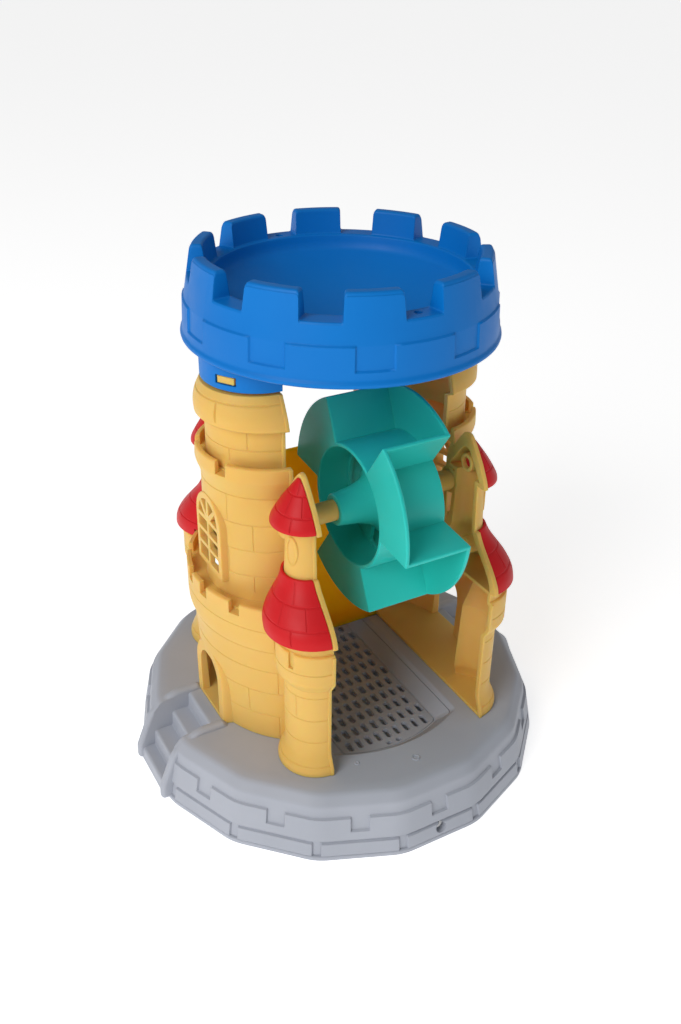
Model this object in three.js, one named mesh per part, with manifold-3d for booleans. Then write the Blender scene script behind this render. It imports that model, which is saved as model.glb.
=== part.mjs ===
// Castle sand-and-water mill: a stepped base with two stair flights, two half towers with red
// roofs, a paddle wheel on a fixed axle between them, a back panel and a battlement hopper on top.
// Millimetres, +Z up, +X along the wheel's axle, -Y to the open front. The origin is the centre of
// the base's footprint on the ground.
import * as THREE from 'three';
import { mergeVertices } from 'three/addons/utils/BufferGeometryUtils.js';
import Module from 'manifold-3d';

const wasm = await Module();
wasm.setup();

// ---- driving dimensions ----
const WALL = 2.4; // moulded wall thickness
const GAP = 0.3; // clearance between separate pieces
const FACETS = 16; // sides of the base
const BASE = { apothem: 133.4, deckZ: 42, deckApothem: 114, basinHalf: 45, basinR: 90, basinBack: 34 };
const BASIN = { depth: 10, slope: 10, ledge: 4 };
const STAIR = { halfWidth: 18, cheek: 5, innerX: 88, landingX: 101, toeX: 135, outerX: 138, steps: 3 };
const SIEVE = { thick: 2.4, slotLength: 7.6, slotWidth: 3.4, pitchX: 6.93, pitchY: 11.14, rimX: 0.8 };
const CUT_X = 53; // each half tower starts at this distance from the middle
const STOREY_X = [25, 46.5, 49.5]; // centres of the three round storeys, lowest first
const PARAPET = { lowerR: 72.5, upperR: 43 }; // outer radii of the two notched parapets
const LEDGE = { width: 3, lowerZ: 136, upperZ: 218 }; // walkway behind each parapet
const TURRET = { footY: 70, neckY: 58, footR: 23, shaftR: 18.7, ringR: 23.5, neckR: 12.6, neckTopR: 11.4 };
// Roofs: rings of [radius, height]; the big one is open round the neck, the small one closed.
const BIG_ROOF = {
  rings: [[28.6, 138], [28.3, 143.5], [25.6, 150], [21.2, 156.8], [16.8, 163.6], [14.4, 169.5]],
  footY: 66.5,
  topY: TURRET.neckY,
  closed: false,
};
const SMALL_ROOF = {
  rings: [[19.4, 200.4], [18.6, 203.6], [14.2, 211.3], [10.3, 216.9], [6.3, 222.3], [2.6, 226.8]],
  footY: 56.5,
  topY: 56.5,
  closed: true,
};
const ROOF = { wall: 2, rim: 2.6, pegR: 3.4, bossR: 5.6 };
const DOOR = { halfWidth: 13, springZ: 70, frame: 7, outX: 92.5 };
const WINDOW = { halfWidth: 13.6, frame: 4, sillZ: 150, springZ: 179, outX: 87.5, bar: 2.3 };
// Eave under the hopper: rings of [centre x, radius, height].
const EAVE = [[49.5, 34, 240], [49.5, 39.5, 246], [52, 37.4, 252], [54, 34.2, 258.5], [54.5, 31, 264.5]];
const KEEP_NECK = { x: 53, r: 28.5, bottomZ: 258, topZ: 277 }; // tube that the hopper's collar drops over
const WHEEL = { x: 4, y: -41, z: 190.7, r: 64, drumR: 37.5, width: 42.6, paddles: 6, tipAngle: 5, skin: 2.2 };
const HUB = { rootR: 15, endR: 9.5, reach: 9 };
const AXLE = { r: 6.2, socket: 5, boss: 2.4 };
const PANEL = { y: 35, thick: 2.6, topZ: 193, footZ: 56, footThick: 5 };
const HOPPER = { flangeZ: 283, crenelZ: 316, topZ: 330.4, flangeR: 90.4, merlons: 10, merlonDeg: 20.8 };
const OUTLET = { r: 6.5, wall: 2.2, bottomZ: 272 };
const COLLAR = { x: 53, r: 32, bottomZ: 266, thick: 2.4, latchWidth: 13, latchZ: 272, latchDegrees: 33 };

// ---- solids: closed geometries that can be joined and cut ----
function solid(source) {
  const bare = source.index ? source.toNonIndexed() : source.clone();
  for (const name of Object.keys(bare.attributes)) if (name !== 'position') bare.deleteAttribute(name);
  const merged = mergeVertices(bare, 1e-4);
  const points = merged.attributes.position.array;
  const faces = [];
  for (let i = 0; i < merged.index.count; i += 3) {
    const [a, b, c] = [0, 1, 2].map((k) => merged.index.getX(i + k));
    if (a !== b && b !== c && c !== a) faces.push(a, b, c);
  }
  if (signedVolume(points, faces) < 0) {
    for (let i = 0; i < faces.length; i += 3) [faces[i + 1], faces[i + 2]] = [faces[i + 2], faces[i + 1]];
  }
  const mesh = new wasm.Mesh({
    numProp: 3,
    vertProperties: new Float32Array(points),
    triVerts: new Uint32Array(faces),
  });
  return new wasm.Manifold(mesh);
}

function signedVolume(points, faces) {
  const corner = (i) => new THREE.Vector3(points[3 * i], points[3 * i + 1], points[3 * i + 2]);
  let total = 0;
  for (let i = 0; i < faces.length; i += 3) {
    total += corner(faces[i]).dot(corner(faces[i + 1]).cross(corner(faces[i + 2])));
  }
  return total;
}

const joined = (solids) => solids.reduce((all, next) => all.add(next));
const cutAway = (body, solids) => solids.reduce((rest, next) => rest.subtract(next), body);

function box([x0, y0, z0], [x1, y1, z1]) {
  const shape = new THREE.BoxGeometry(x1 - x0, y1 - y0, z1 - z0);
  return solid(shape.translate((x0 + x1) / 2, (y0 + y1) / 2, (z0 + z1) / 2));
}

// A solid of revolution about a vertical axis at (x, y), from [radius, height] pairs.
function turned(profile, x = 0, y = 0, segments = 40, phase = 0) {
  const points = profile.map(([r, z]) => new THREE.Vector2(r, z));
  const shape = new THREE.LatheGeometry(points, segments, phase);
  return solid(shape.rotateX(Math.PI / 2).translate(x, y, 0));
}

// The same, leaning in Y so that its axis passes y0 at z0 and y1 at z1.
function leaningTurned(profile, x, [y0, z0], [y1, z1], segments = 20) {
  const points = profile.map(([r, z]) => new THREE.Vector2(r, z));
  const lean = (y1 - y0) / (z1 - z0);
  const shear = new THREE.Matrix4().set(1, 0, 0, x, 0, 1, lean, y0 - lean * z0, 0, 0, 1, 0, 0, 0, 0, 1);
  return solid(new THREE.LatheGeometry(points, segments).rotateX(Math.PI / 2).applyMatrix4(shear));
}

// A bar of round section from x0 to x1 along X.
function bar(r, x0, x1, y, z, segments = 12) {
  const shape = new THREE.CylinderGeometry(r, r, x1 - x0, segments).rotateZ(Math.PI / 2);
  return solid(shape.translate((x0 + x1) / 2, y, z));
}

// A flat outline in the YZ plane, extruded along X from x0 to x1.
function plateAlongX(outline, x0, x1) {
  const shape = new THREE.Shape(outline.map(([y, z]) => new THREE.Vector2(y, z)));
  const plate = new THREE.ExtrudeGeometry(shape, { depth: x1 - x0, bevelEnabled: false });
  const turn = new THREE.Matrix4().set(0, 0, 1, x0, 1, 0, 0, 0, 0, 1, 0, 0, 0, 0, 0, 1);
  return solid(plate.applyMatrix4(turn));
}

// An upright arch outline [y, z], half-round on top, centred on y = 0.
function archOutline(halfWidth, bottom, spring, steps = 6) {
  const round = Array.from({ length: steps + 1 }, (_, i) => {
    const turn = (Math.PI * i) / steps;
    return [halfWidth * Math.cos(turn), spring + halfWidth * Math.sin(turn)];
  });
  return [[-halfWidth, bottom], [halfWidth, bottom], ...round];
}

function mirrored(geometry, axis) {
  const copy = geometry.clone();
  copy.scale(axis === 'x' ? -1 : 1, axis === 'y' ? -1 : 1, 1);
  const index = copy.index.array.slice();
  for (let i = 0; i < index.length; i += 3) [index[i + 1], index[i + 2]] = [index[i + 2], index[i + 1]];
  copy.setIndex(new THREE.BufferAttribute(index, 1));
  copy.computeVertexNormals();
  return copy;
}

function geometryOf(manifold) {
  const mesh = manifold.getMesh();
  const geometry = new THREE.BufferGeometry();
  geometry.setAttribute('position', new THREE.BufferAttribute(new Float32Array(mesh.vertProperties), 3));
  geometry.setIndex(new THREE.BufferAttribute(new Uint32Array(mesh.triVerts), 1));
  geometry.computeVertexNormals();
  return geometry;
}

// ---- base: hollow sixteen-sided plinth with a sunk basin and a stair at each side ----
function facetedProfile(profile, inset) {
  const toCorner = 1 / Math.cos(Math.PI / FACETS);
  const corners = profile.map(([r, z]) => [Math.max(r - inset, 0) * toCorner, z]);
  return turned(corners, 0, 0, FACETS, Math.PI / FACETS);
}

function basinOutline(inset, back) {
  const half = BASE.basinHalf - inset;
  const r = BASE.basinR - inset;
  const side = Math.asin(half / r);
  const front = Array.from({ length: 13 }, (_, i) => {
    const turn = -side + (2 * side * i) / 12;
    return new THREE.Vector2(r * Math.sin(turn), -r * Math.cos(turn));
  });
  return [...front, new THREE.Vector2(half, back), new THREE.Vector2(-half, back)];
}

// A body with the basin's outline: wide at the top and narrower at the bottom.
function basinBody(outset, bottomZ, topZ) {
  const wide = basinOutline(-outset, BASE.basinBack + outset);
  const narrow = basinOutline(BASIN.slope - outset, BASE.basinBack - BASIN.slope / 3 + outset);
  const ring = (points, z) => points.map((p) => [p.x, p.y, z]).flat();
  const n = wide.length;
  const shape = new THREE.BufferGeometry();
  const places = [...ring(narrow, bottomZ), ...ring(wide, topZ)];
  shape.setAttribute('position', new THREE.Float32BufferAttribute(places, 3));
  const cap = THREE.ShapeUtils.triangulateShape(wide, []);
  const faces = cap.flatMap(([a, b, c]) => [a, c, b, a + n, b + n, c + n]);
  for (let i = 0; i < n; i += 1) {
    const next = (i + 1) % n;
    faces.push(i, next, next + n, i, next + n, i + n);
  }
  shape.setIndex(faces);
  return solid(shape);
}

function stairFlight(side) {
  const { halfWidth, cheek, innerX, landingX, toeX, outerX, steps } = STAIR;
  const x = (value) => side * value;
  const span = (a, b) => [Math.min(x(a), x(b)), Math.max(x(a), x(b))];
  const run = (toeX - landingX) / steps;
  const rise = BASE.deckZ / (steps + 1);
  const treads = Array.from({ length: steps }, (_, i) => {
    const [x0, x1] = span(innerX + 2, landingX + run * (i + 1));
    return box([x0, -halfWidth - 1, 0], [x1, halfWidth + 1, BASE.deckZ - rise * (i + 1)]);
  });
  const slope = [[innerX, 0], [outerX, 0], [outerX, 10], [outerX - 6, 24], [outerX - 16, 37], [outerX - 28, 44.5],
    [innerX + 5.5, 44.5], [innerX + 5.5, 41], [innerX, 41]];
  const cheeks = [-1, 1].map((end) => {
    const outline = slope.map(([a, z]) => new THREE.Vector2(x(a), z));
    const plate = new THREE.ExtrudeGeometry(new THREE.Shape(outline), { depth: cheek, bevelEnabled: false });
    plate.rotateX(Math.PI / 2);
    return solid(plate.translate(0, end > 0 ? halfWidth + cheek : -halfWidth, 0));
  });
  const [x0, x1] = span(landingX, outerX + 4);
  return { body: joined([...treads, ...cheeks]), well: box([x0, -halfWidth, -1], [x1, halfWidth, 60]) };
}

function base() {
  const outer = [[0, 0], [BASE.apothem, 0], [BASE.apothem, 3], [127, 28], [124, 36], [120, 40], [BASE.deckApothem, 42],
    [0, 42]];
  const rim = BASE.apothem - 2;
  const inner = [[0, -1], [rim, -1], [rim, 2], [BASE.apothem, 2], [BASE.apothem, 3], [127, 28], [123, 36],
    [118, 39.4], [0, 39.4]];
  const flights = [1, -1].map(stairFlight);
  let block = facetedProfile(outer, 0);
  for (const flight of flights) block = block.subtract(flight.well).add(flight.body);
  const shellSpace = facetedProfile(inner, WALL + 0.6);
  const stairSpace = [1, -1].map((side) => hollowUnderStair(side));
  const tray = basinBody(WALL, BASE.deckZ - BASIN.depth - WALL, BASE.deckZ - 0.5);
  const hollow = shellSpace.subtract(joined([1, -1].map((side) => stairBlock(side)))).add(joined(stairSpace));
  block = block.subtract(hollow).add(tray);
  const water = basinBody(0, BASE.deckZ - BASIN.depth, BASE.deckZ + 0.01).add(aboveBasin());
  block = block.subtract(water).subtract(sievePlate(0, 20, BASE.deckZ - BASIN.depth + 1));
  const drain = new THREE.CylinderGeometry(3.5, 3.5, 20, 16).translate(0, -BASE.apothem + 2, 8.5);
  return block.subtract(solid(drain));
}

const stairBlock = (side) => {
  const [near, far] = [STAIR.innerX - 2, STAIR.outerX + 6].map((value) => value * side).sort((a, b) => a - b);
  const reach = STAIR.halfWidth + STAIR.cheek + 1;
  return box([near, -reach, -2], [far, reach, 60]);
};

// The space under each flight, open to the ground, that leaves its treads and cheeks as thin walls.
function hollowUnderStair(side) {
  const { halfWidth, cheek, innerX, landingX, toeX, steps } = STAIR;
  const run = (toeX - landingX) / steps;
  const rise = BASE.deckZ / (steps + 1);
  return joined(Array.from({ length: steps + 1 }, (_, i) => {
    const [x0, x1] = [innerX - 6, landingX + run * i - WALL].map((v) => v * side).sort((a, b) => a - b);
    return box([x0, -halfWidth - cheek + WALL, -1], [x1, halfWidth + cheek - WALL, BASE.deckZ - rise * i - WALL]);
  }));
}

const aboveBasin = () => box([-30, -60, BASE.deckZ - 1], [30, BASE.basinBack - 8, BASE.deckZ + 6]);

// ---- sieve: slotted plate dropped into the basin's floor ----
function sievePlate(shrink, bottomZ, topZ) {
  const outline = basinOutline(BASIN.slope + SIEVE.rimX + shrink, BASE.basinBack - BASIN.ledge - shrink);
  const extent = { depth: topZ - bottomZ, bevelEnabled: false };
  return solid(new THREE.ExtrudeGeometry(new THREE.Shape(outline), extent).translate(0, 0, bottomZ));
}

function sieve() {
  const floorZ = BASE.deckZ - BASIN.depth;
  const plate = sievePlate(GAP, floorZ - SIEVE.thick, floorZ);
  const { pitchX, pitchY, slotLength, slotWidth } = SIEVE;
  const half = BASE.basinHalf - BASIN.slope - SIEVE.rimX - 1;
  const slots = [];
  for (let y = BASE.basinBack - BASIN.slope, row = 0; y > -BASE.basinR; y -= pitchY, row += 1) {
    for (let column = -5; column <= 5; column += 1) {
      const x = (column + (row % 2) / 2) * pitchX;
      const front = -Math.sqrt((BASE.basinR - BASIN.slope - 6) ** 2 - x * x) + slotLength / 2;
      if (Math.abs(x) + slotWidth / 2 > half || y < front) continue;
      slots.push(box([x - slotWidth / 2, y - slotLength / 2, 20], [x + slotWidth / 2, y + slotLength / 2, 40]));
    }
  }
  return plate.subtract(joined(slots));
}

// ---- half tower, right side; the left one is its mirror image ----
const floorOfTower = BASE.deckZ + GAP;

// Moves a profile inwards; its last two points, the flat top, also move down.
function insetProfile(profile, inset) {
  const top = profile.length - 2;
  return profile.map(([r, z], i) => [r === 0 ? 0 : r - inset, i >= top ? z - inset : z]);
}

const STOREYS = [
  [[0, floorOfTower], [66, floorOfTower], [68, 90], [69.6, 110], [PARAPET.lowerR, 122], [PARAPET.lowerR, 142.4],
    [0, 142.4]],
  [[0, 100], [40.5, 100], [40.5, 205], [42, 212], [PARAPET.upperR, 217], [PARAPET.upperR, 224.5], [0, 224.5]],
  [[0, 190], [34, 190], [34, 245], [0, 245]],
];

function storeys(inset) {
  const [lower, middle, shaft] = STOREYS.map((profile, i) => (
    turned(insetProfile(profile, inset), STOREY_X[i], 0, 32)));
  return [lower, middle, shaft.add(eave(inset))];
}

function eave(inset) {
  const sides = 32;
  const points = EAVE.flatMap(([x, r, z], i) => Array.from({ length: sides }, (_, k) => {
    const turn = (2 * Math.PI * k) / sides;
    const height = i === EAVE.length - 1 ? z - inset : z;
    return [x + (r - inset) * Math.cos(turn), (r - inset) * Math.sin(turn), height];
  }));
  return wasm.Manifold.hull(points);
}

// The hollow of each storey, its ceiling kept below the walkway.
function storeySpaces() {
  const ceilings = [LEDGE.lowerZ - WALL, LEDGE.upperZ - WALL, EAVE.at(-1)[2] - WALL];
  return storeys(WALL).map((space, i) => space.intersect(box([-20, -130, 0], [140, 130, ceilings[i]])));
}

// The walkways sunk behind the two parapets, each open at the top.
function ledges() {
  const [first, second, third] = storeys(0);
  const walkway = (parapetR, z, x) => {
    const r = parapetR - LEDGE.width;
    return turned([[0, z], [r, z], [r, z + 12], [0, z + 12]], x, 0, 32);
  };
  const lower = walkway(PARAPET.lowerR, LEDGE.lowerZ, STOREY_X[0]);
  const upper = walkway(PARAPET.upperR, LEDGE.upperZ, STOREY_X[1]);
  const turrets = joined(bothEnds([turret(0)]));
  return lower.subtract(second).subtract(turrets).add(upper.subtract(third)).subtract(first.intersect(second));
}

function turret(inset) {
  const { footY, neckY, footR, shaftR, ringR, neckR, neckTopR } = TURRET;
  const shrink = (profile) => profile.map(([r, z]) => [r === 0 ? 0 : r - inset, z]);
  const shaft = [[0, floorOfTower], [footR, floorOfTower], [footR, 46], [shaftR, 58], [shaftR, 104], [ringR, 110],
    [ringR, 133 - inset], [0, 133 - inset]];
  const neck = [[0, 150], [neckR, 150], [neckR, 166], [neckTopR, 192], [neckTopR, 203], [0, 203]];
  const underRoof = -ROOF.wall - GAP - inset;
  return joined([
    turned(shrink(shaft), CUT_X, footY, 20),
    roofBody(BIG_ROOF, underRoof, 131),
    turned(shrink(neck), CUT_X, neckY, 20),
    roofBody(SMALL_ROOF, underRoof, SMALL_ROOF.rings[0][1] + 0.4 + inset / 2),
  ]);
}

// The flat rim at the cut plane that each roof butts against.
function roofRims() {
  const slab = box([CUT_X, -120, 100], [CUT_X + ROOF.rim, 120, 240]);
  return slab.intersect(joined([BIG_ROOF, SMALL_ROOF].map((size) => roofBody(size, 1.2))));
}

// The solid inside a roof's outline, grown by so much, from bottomZ up. A closed tip moves along Z.
function roofBody({ rings, footY, topY, closed }, grow, bottomZ = rings[0][1] - Math.max(grow, 0) / 2) {
  const baseZ = rings[0][1];
  const topZ = rings.at(-1)[1];
  const upper = rings.slice(1).map(([r, z], i) => (closed && i > 0 ? [r, z + 1.6 * grow] : [r + grow, z]));
  const skirtR = rings[0][0] + grow;
  const profile = [[0, bottomZ], [skirtR, bottomZ], [skirtR, Math.max(baseZ, bottomZ)], ...upper, [0, upper.at(-1)[1]]];
  return leaningTurned(profile, CUT_X, [footY, baseZ], [topY, topZ]);
}

const pegs = [{ y: 60.5, z: 154, farX: 77 }, { y: SMALL_ROOF.topY, z: 209, farX: 68 }];
const bothEnds = (list) => [...list, ...list.map((body) => body.mirror([0, 1, 0]))];

// Slots through a parapet, from height z up, at angles either side of +X.
function notches(x, r, z, angles) {
  return angles.flatMap((degrees) => [degrees, -degrees]).map((degrees) => {
    const cell = new THREE.BoxGeometry(7, 8, 20).translate(r, 0, z + 10);
    cell.rotateZ(THREE.MathUtils.degToRad(degrees)).translate(x, 0, 0);
    return solid(cell);
  });
}

function windowPanes() {
  const { halfWidth, sillZ, springZ, bar: width } = WINDOW;
  const opening = plateAlongX(archOutline(halfWidth, sillZ, springZ), 60, 110);
  const rows = [1, 2].map((k) => sillZ + (k * (springZ - sillZ)) / 3);
  const diagonals = [-45, 45].map((degrees) => {
    const spoke = new THREE.BoxGeometry(50, width, 2 * halfWidth).translate(85, 0, halfWidth);
    return solid(spoke.rotateX(THREE.MathUtils.degToRad(degrees)).translate(0, 0, springZ));
  });
  const bars = [
    ...diagonals,
    box([60, -width / 2, sillZ - 2], [110, width / 2, springZ + halfWidth + 2]),
    ...[...rows, springZ].map((z) => box([60, -halfWidth - 2, z - width / 2], [110, halfWidth + 2, z + width / 2])),
  ];
  return opening.subtract(joined(bars));
}

function halfTower() {
  const keepRight = box([CUT_X, -130, 0], [140, 130, 300]);
  const outline = joined([...storeys(0), ...bothEnds([turret(0)])]);
  const space = joined([...storeySpaces(), ...bothEnds([turret(WALL)])]);
  const inside = box([CUT_X - 1, -130, floorOfTower + WALL], [140, 130, 300]);
  const { x: neckX, r: neckR, bottomZ, topZ } = KEEP_NECK;
  const tube = (r, low, high) => turned([[0, low], [r, low], [r, high], [0, high]], neckX, 0, 24);
  const doorFrame = plateAlongX(archOutline(DOOR.halfWidth + DOOR.frame, floorOfTower, DOOR.springZ), 80, DOOR.outX);
  const { halfWidth, frame, sillZ, springZ, outX } = WINDOW;
  const windowFrame = plateAlongX(archOutline(halfWidth + frame, sillZ - frame, springZ), 75, outX);
  const bossRoots = bothEnds(pegs.map(({ y, z, farX }) => bar(ROOF.bossR, CUT_X + 4, farX, y, z)));
  const bossHoles = bothEnds(pegs.map(({ y, z }) => bar(ROOF.pegR + GAP, CUT_X - 1, 100, y, z)));
  const axleBoss = bar(AXLE.r + AXLE.boss, CUT_X, CUT_X + AXLE.socket + AXLE.boss, WHEEL.y, WHEEL.z);
  let shell = outline.subtract(space.intersect(inside));
  shell = shell.subtract(ledges());
  shell = shell.add(tube(neckR, bottomZ, topZ)).subtract(tube(neckR - WALL, bottomZ - 1, topZ + 1));
  shell = shell.add(doorFrame.add(windowFrame).subtract(space));
  shell = shell.add(joined(bossRoots).intersect(outline)).add(axleBoss);
  shell = shell.add(roofRims().subtract(space)).add(bothEnds([roofRims().subtract(space)])[1]);
  shell = cutAway(shell, [
    plateAlongX(archOutline(DOOR.halfWidth, floorOfTower + WALL, DOOR.springZ), 70, 110),
    windowPanes(),
    ...bossHoles,
    bar(AXLE.r + GAP, CUT_X - 1, CUT_X + AXLE.socket + GAP, WHEEL.y, WHEEL.z),
    ...notches(STOREY_X[0], PARAPET.lowerR, 134.5, [7.5, 29]),
    ...notches(STOREY_X[1], PARAPET.upperR, 217, [25]),
  ]);
  return shell.intersect(keepRight);
}

// ---- roofs: half-cone shells with a peg that goes through the tower's ring boss ----
function roof(size, { y, z, farX }) {
  const clearOfRim = box([CUT_X + ROOF.rim + GAP, 0, 100], [140, 130, 260]);
  const outside = roofBody(size, 0);
  const neckSpace = turned([[0, 145], [TURRET.neckR + GAP, 145], [TURRET.neckR + GAP, 203], [0, 203]], CUT_X,
    TURRET.neckY, 20);
  const inside = roofBody(size, -ROOF.wall, 100).add(neckSpace);
  const shell = outside.subtract(inside).intersect(clearOfRim).subtract(joined(storeys(-GAP).slice(0, 2)));
  const peg = bar(ROOF.pegR, CUT_X + 5, farX, y, z).intersect(outside);
  return shell.add(peg);
}

// ---- back panel ----
function rearPanel() {
  const half = CUT_X - GAP;
  const sheet = box([-half, PANEL.y, floorOfTower], [half, PANEL.y + PANEL.thick, PANEL.topZ]);
  return sheet.add(box([-half, PANEL.y, floorOfTower], [half, PANEL.y + PANEL.footThick, PANEL.footZ]));
}

// ---- wheel: drum with a pierced web, six paddles and alternate side cheeks ----
const axleAt = (shape) => shape.rotateY(Math.PI / 2).translate(WHEEL.x, WHEEL.y, WHEEL.z);

function wheelDisc(r, halfWidth, offset = 0, segments = 60) {
  const disc = new THREE.CylinderGeometry(r, r, 2 * halfWidth, segments).rotateX(Math.PI / 2);
  return solid(axleAt(disc.translate(0, 0, offset)));
}

function kidney(middleDegrees) {
  const span = THREE.MathUtils.degToRad(58);
  const middle = THREE.MathUtils.degToRad(middleDegrees);
  const arc = (r, from, to) => Array.from({ length: 11 }, (_, i) => {
    const turn = from + ((to - from) * i) / 10;
    return [WHEEL.y + r * Math.cos(turn), WHEEL.z + r * Math.sin(turn)];
  });
  const outline = [...arc(31, middle - span, middle + span), ...arc(15, middle + span, middle - span)];
  return plateAlongX(outline, WHEEL.x - 10, WHEEL.x + 10);
}

function wheel() {
  const half = WHEEL.width / 2;
  const { r, drumR, skin, paddles, tipAngle } = WHEEL;
  const drum = wheelDisc(drumR, half).subtract(wheelDisc(drumR - skin, half + 1));
  const web = cutAway(wheelDisc(drumR - 1, skin / 2), [44, 224].map(kidney));
  const hubEnds = [[0, -half - HUB.reach], [HUB.endR, -half - HUB.reach], [HUB.rootR, 0], [HUB.endR, half + HUB.reach],
    [0, half + HUB.reach]];
  const hub = solid(axleAt(new THREE.LatheGeometry(hubEnds.map(([a, b]) => new THREE.Vector2(a, b)), 36)
    .rotateX(Math.PI / 2)));
  const blades = [];
  const cheeks = [];
  for (let i = 0; i < paddles; i += 1) {
    const turn = THREE.MathUtils.degToRad(tipAngle + (360 / paddles) * i);
    const blade = new THREE.BoxGeometry(WHEEL.width, r - drumR + 1, skin).translate(0, (r + drumR - 1) / 2, 0);
    blades.push(solid(blade.rotateX(turn).translate(WHEEL.x, WHEEL.y, WHEEL.z)));
    const side = i % 2 === 0 ? -1 : 1;
    const sector = Array.from({ length: 13 }, (_, k) => {
      const at = turn + (Math.PI / 3) * (k / 12);
      return [WHEEL.y + r * Math.cos(at), WHEEL.z + r * Math.sin(at)];
    });
    const edge = WHEEL.x + side * half;
    const [x0, x1] = side < 0 ? [edge, edge + skin] : [edge - skin, edge];
    cheeks.push(plateAlongX([[WHEEL.y, WHEEL.z], ...sector], x0, x1).subtract(wheelDisc(drumR - 0.5, 2 * half)));
  }
  const spun = joined([drum, web, hub, ...blades, ...cheeks]);
  return spun.subtract(bar(AXLE.r + GAP, -90, 90, WHEEL.y, WHEEL.z, 32));
}

const axle = () => bar(AXLE.r, -CUT_X - AXLE.socket, CUT_X + AXLE.socket, WHEEL.y, WHEEL.z, 32);

// ---- hopper: double-skinned battlement ring, dish with a central outlet, and two collars ----
const dishTop = [[70.8, 308], [60, 301.5], [40, 294], [20, 289.5], [OUTLET.r + OUTLET.wall, 288]];

function hopper() {
  const { flangeZ, crenelZ, topZ, flangeR, merlons, merlonDeg } = HOPPER;
  const skin = 2.2;
  const outerWall = [[flangeR, flangeZ], [flangeR, flangeZ + 3], [87.2, flangeZ + 4.5], [83.8, crenelZ], [82.9, topZ]];
  const body = turned([[0, flangeZ], ...outerWall, [76, topZ], [72.7, crenelZ], ...dishTop, [0, 287]], 0, 0, 40);
  const under = dishTop.map(([r, z]) => [r, z - skin]);
  const hollow = turned([[0, 280], [flangeR - skin, 280], [flangeR - skin - 1, flangeZ + 3],
    [81.8, crenelZ - skin], [74.7, crenelZ - skin], [73, 306], ...under, [0, 285.5]], 0, 0, 40);
  const merlonSpace = turned([[75.2, crenelZ - skin - 1], [81.5, crenelZ - skin - 1], [80.6, topZ - skin],
    [78.2, topZ - skin], [75, crenelZ], [75.2, crenelZ - skin - 1]], 0, 0, 40);
  const wedge = (middle, span, inset) => {
    const half = THREE.MathUtils.degToRad(span / 2);
    const reach = 130;
    const shift = inset / Math.sin(half);
    const outline = [[shift, 0], [reach, -reach * Math.tan(half) + inset], [reach, reach * Math.tan(half) - inset]];
    const shape = new THREE.Shape(outline.map(([a, b]) => new THREE.Vector2(a, b)));
    const body3 = new THREE.ExtrudeGeometry(shape, { depth: 60, bevelEnabled: false }).translate(0, 0, 300);
    return solid(body3.rotateZ(THREE.MathUtils.degToRad(middle)));
  };
  const pitch = 360 / merlons;
  const gaps = [];
  const pockets = [];
  for (let i = 0; i < merlons; i += 1) {
    const ring = box([-120, -120, crenelZ], [120, 120, topZ + 5]);
    gaps.push(wedge(i * pitch + pitch / 2, pitch - merlonDeg, 0).intersect(ring));
    pockets.push(merlonSpace.intersect(wedge(i * pitch, merlonDeg, skin)));
  }
  const spout = turned([[0, OUTLET.bottomZ], [OUTLET.r + OUTLET.wall, OUTLET.bottomZ], [OUTLET.r + OUTLET.wall, 290],
    [0, 290]], 0, 0, 32);
  const bore = turned([[0, 260], [OUTLET.r, 260], [OUTLET.r, 300], [0, 300]], 0, 0, 32);
  const bowl = [[0, 287], ...dishTop.slice(0, -1).reverse(), [dishTop[0][0], 340], [0, 340]];
  const bowlSpace = turned(bowl, 0, 0, 40);
  const drains = [-78, 78].map((y) => solid(new THREE.CylinderGeometry(1.6, 1.6, 10, 12).rotateX(Math.PI / 2)
    .translate(0, y, crenelZ)));
  let ring = cutAway(body, [hollow, ...gaps, ...pockets]);
  ring = ring.add(joined([collar(1), collar(-1)]).subtract(bowlSpace)).add(spout);
  return cutAway(ring, [bore, ...drains]);
}

// A half-round collar under the hopper that drops over the neck of one tower.
function collar(side) {
  const { x, r, bottomZ, thick, latchWidth, latchZ, latchDegrees } = COLLAR;
  const tube = turned([[0, bottomZ], [r, bottomZ], [r, 303], [0, 303]], x, 0, 24);
  const space = turned([[0, 260], [r - thick, 260], [r - thick, 310], [0, 310]], x, 0, 24);
  const half = box([CUT_X, -60, 250], [120, 60, 320]);
  const latch = new THREE.BoxGeometry(14, latchWidth, 5).translate(r, 0, latchZ);
  const windows = [-latchDegrees, latchDegrees].map((degrees) => (
    solid(latch.clone().rotateZ(THREE.MathUtils.degToRad(degrees)).translate(x, 0, 0))));
  const shape = cutAway(tube.subtract(space).intersect(half), windows);
  return side > 0 ? shape : shape.mirror([1, 0, 0]);
}

// ---- the assembly ----
const finish = (color, roughness) => ({ color, roughness, metalness: 0 });
const FINISHES = {
  grey: finish('#9aa3b0', 0.5),
  yellow: finish('#e6be6e', 0.45),
  red: finish('#cd2d32', 0.4),
  amber: finish('#e1960a', 0.4),
  teal: finish('#28b9ac', 0.35),
  blue: finish('#1473c8', 0.4),
};

const group = new THREE.Group();

function place(name, geometry, look) {
  const mesh = new THREE.Mesh(geometry, new THREE.MeshStandardMaterial(FINISHES[look]));
  mesh.name = name;
  group.add(mesh);
}

place('base', geometryOf(base()), 'grey');
place('sieve_plate', geometryOf(sieve()), 'grey');
place('rear_panel', geometryOf(rearPanel()), 'amber');
place('axle', geometryOf(axle()), 'yellow');
place('paddle_wheel', geometryOf(wheel()), 'teal');
place('hopper', geometryOf(hopper()), 'blue');

const wallGeometry = geometryOf(halfTower());
place('right_tower', wallGeometry, 'yellow');
place('left_tower', mirrored(wallGeometry, 'x'), 'yellow');

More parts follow.
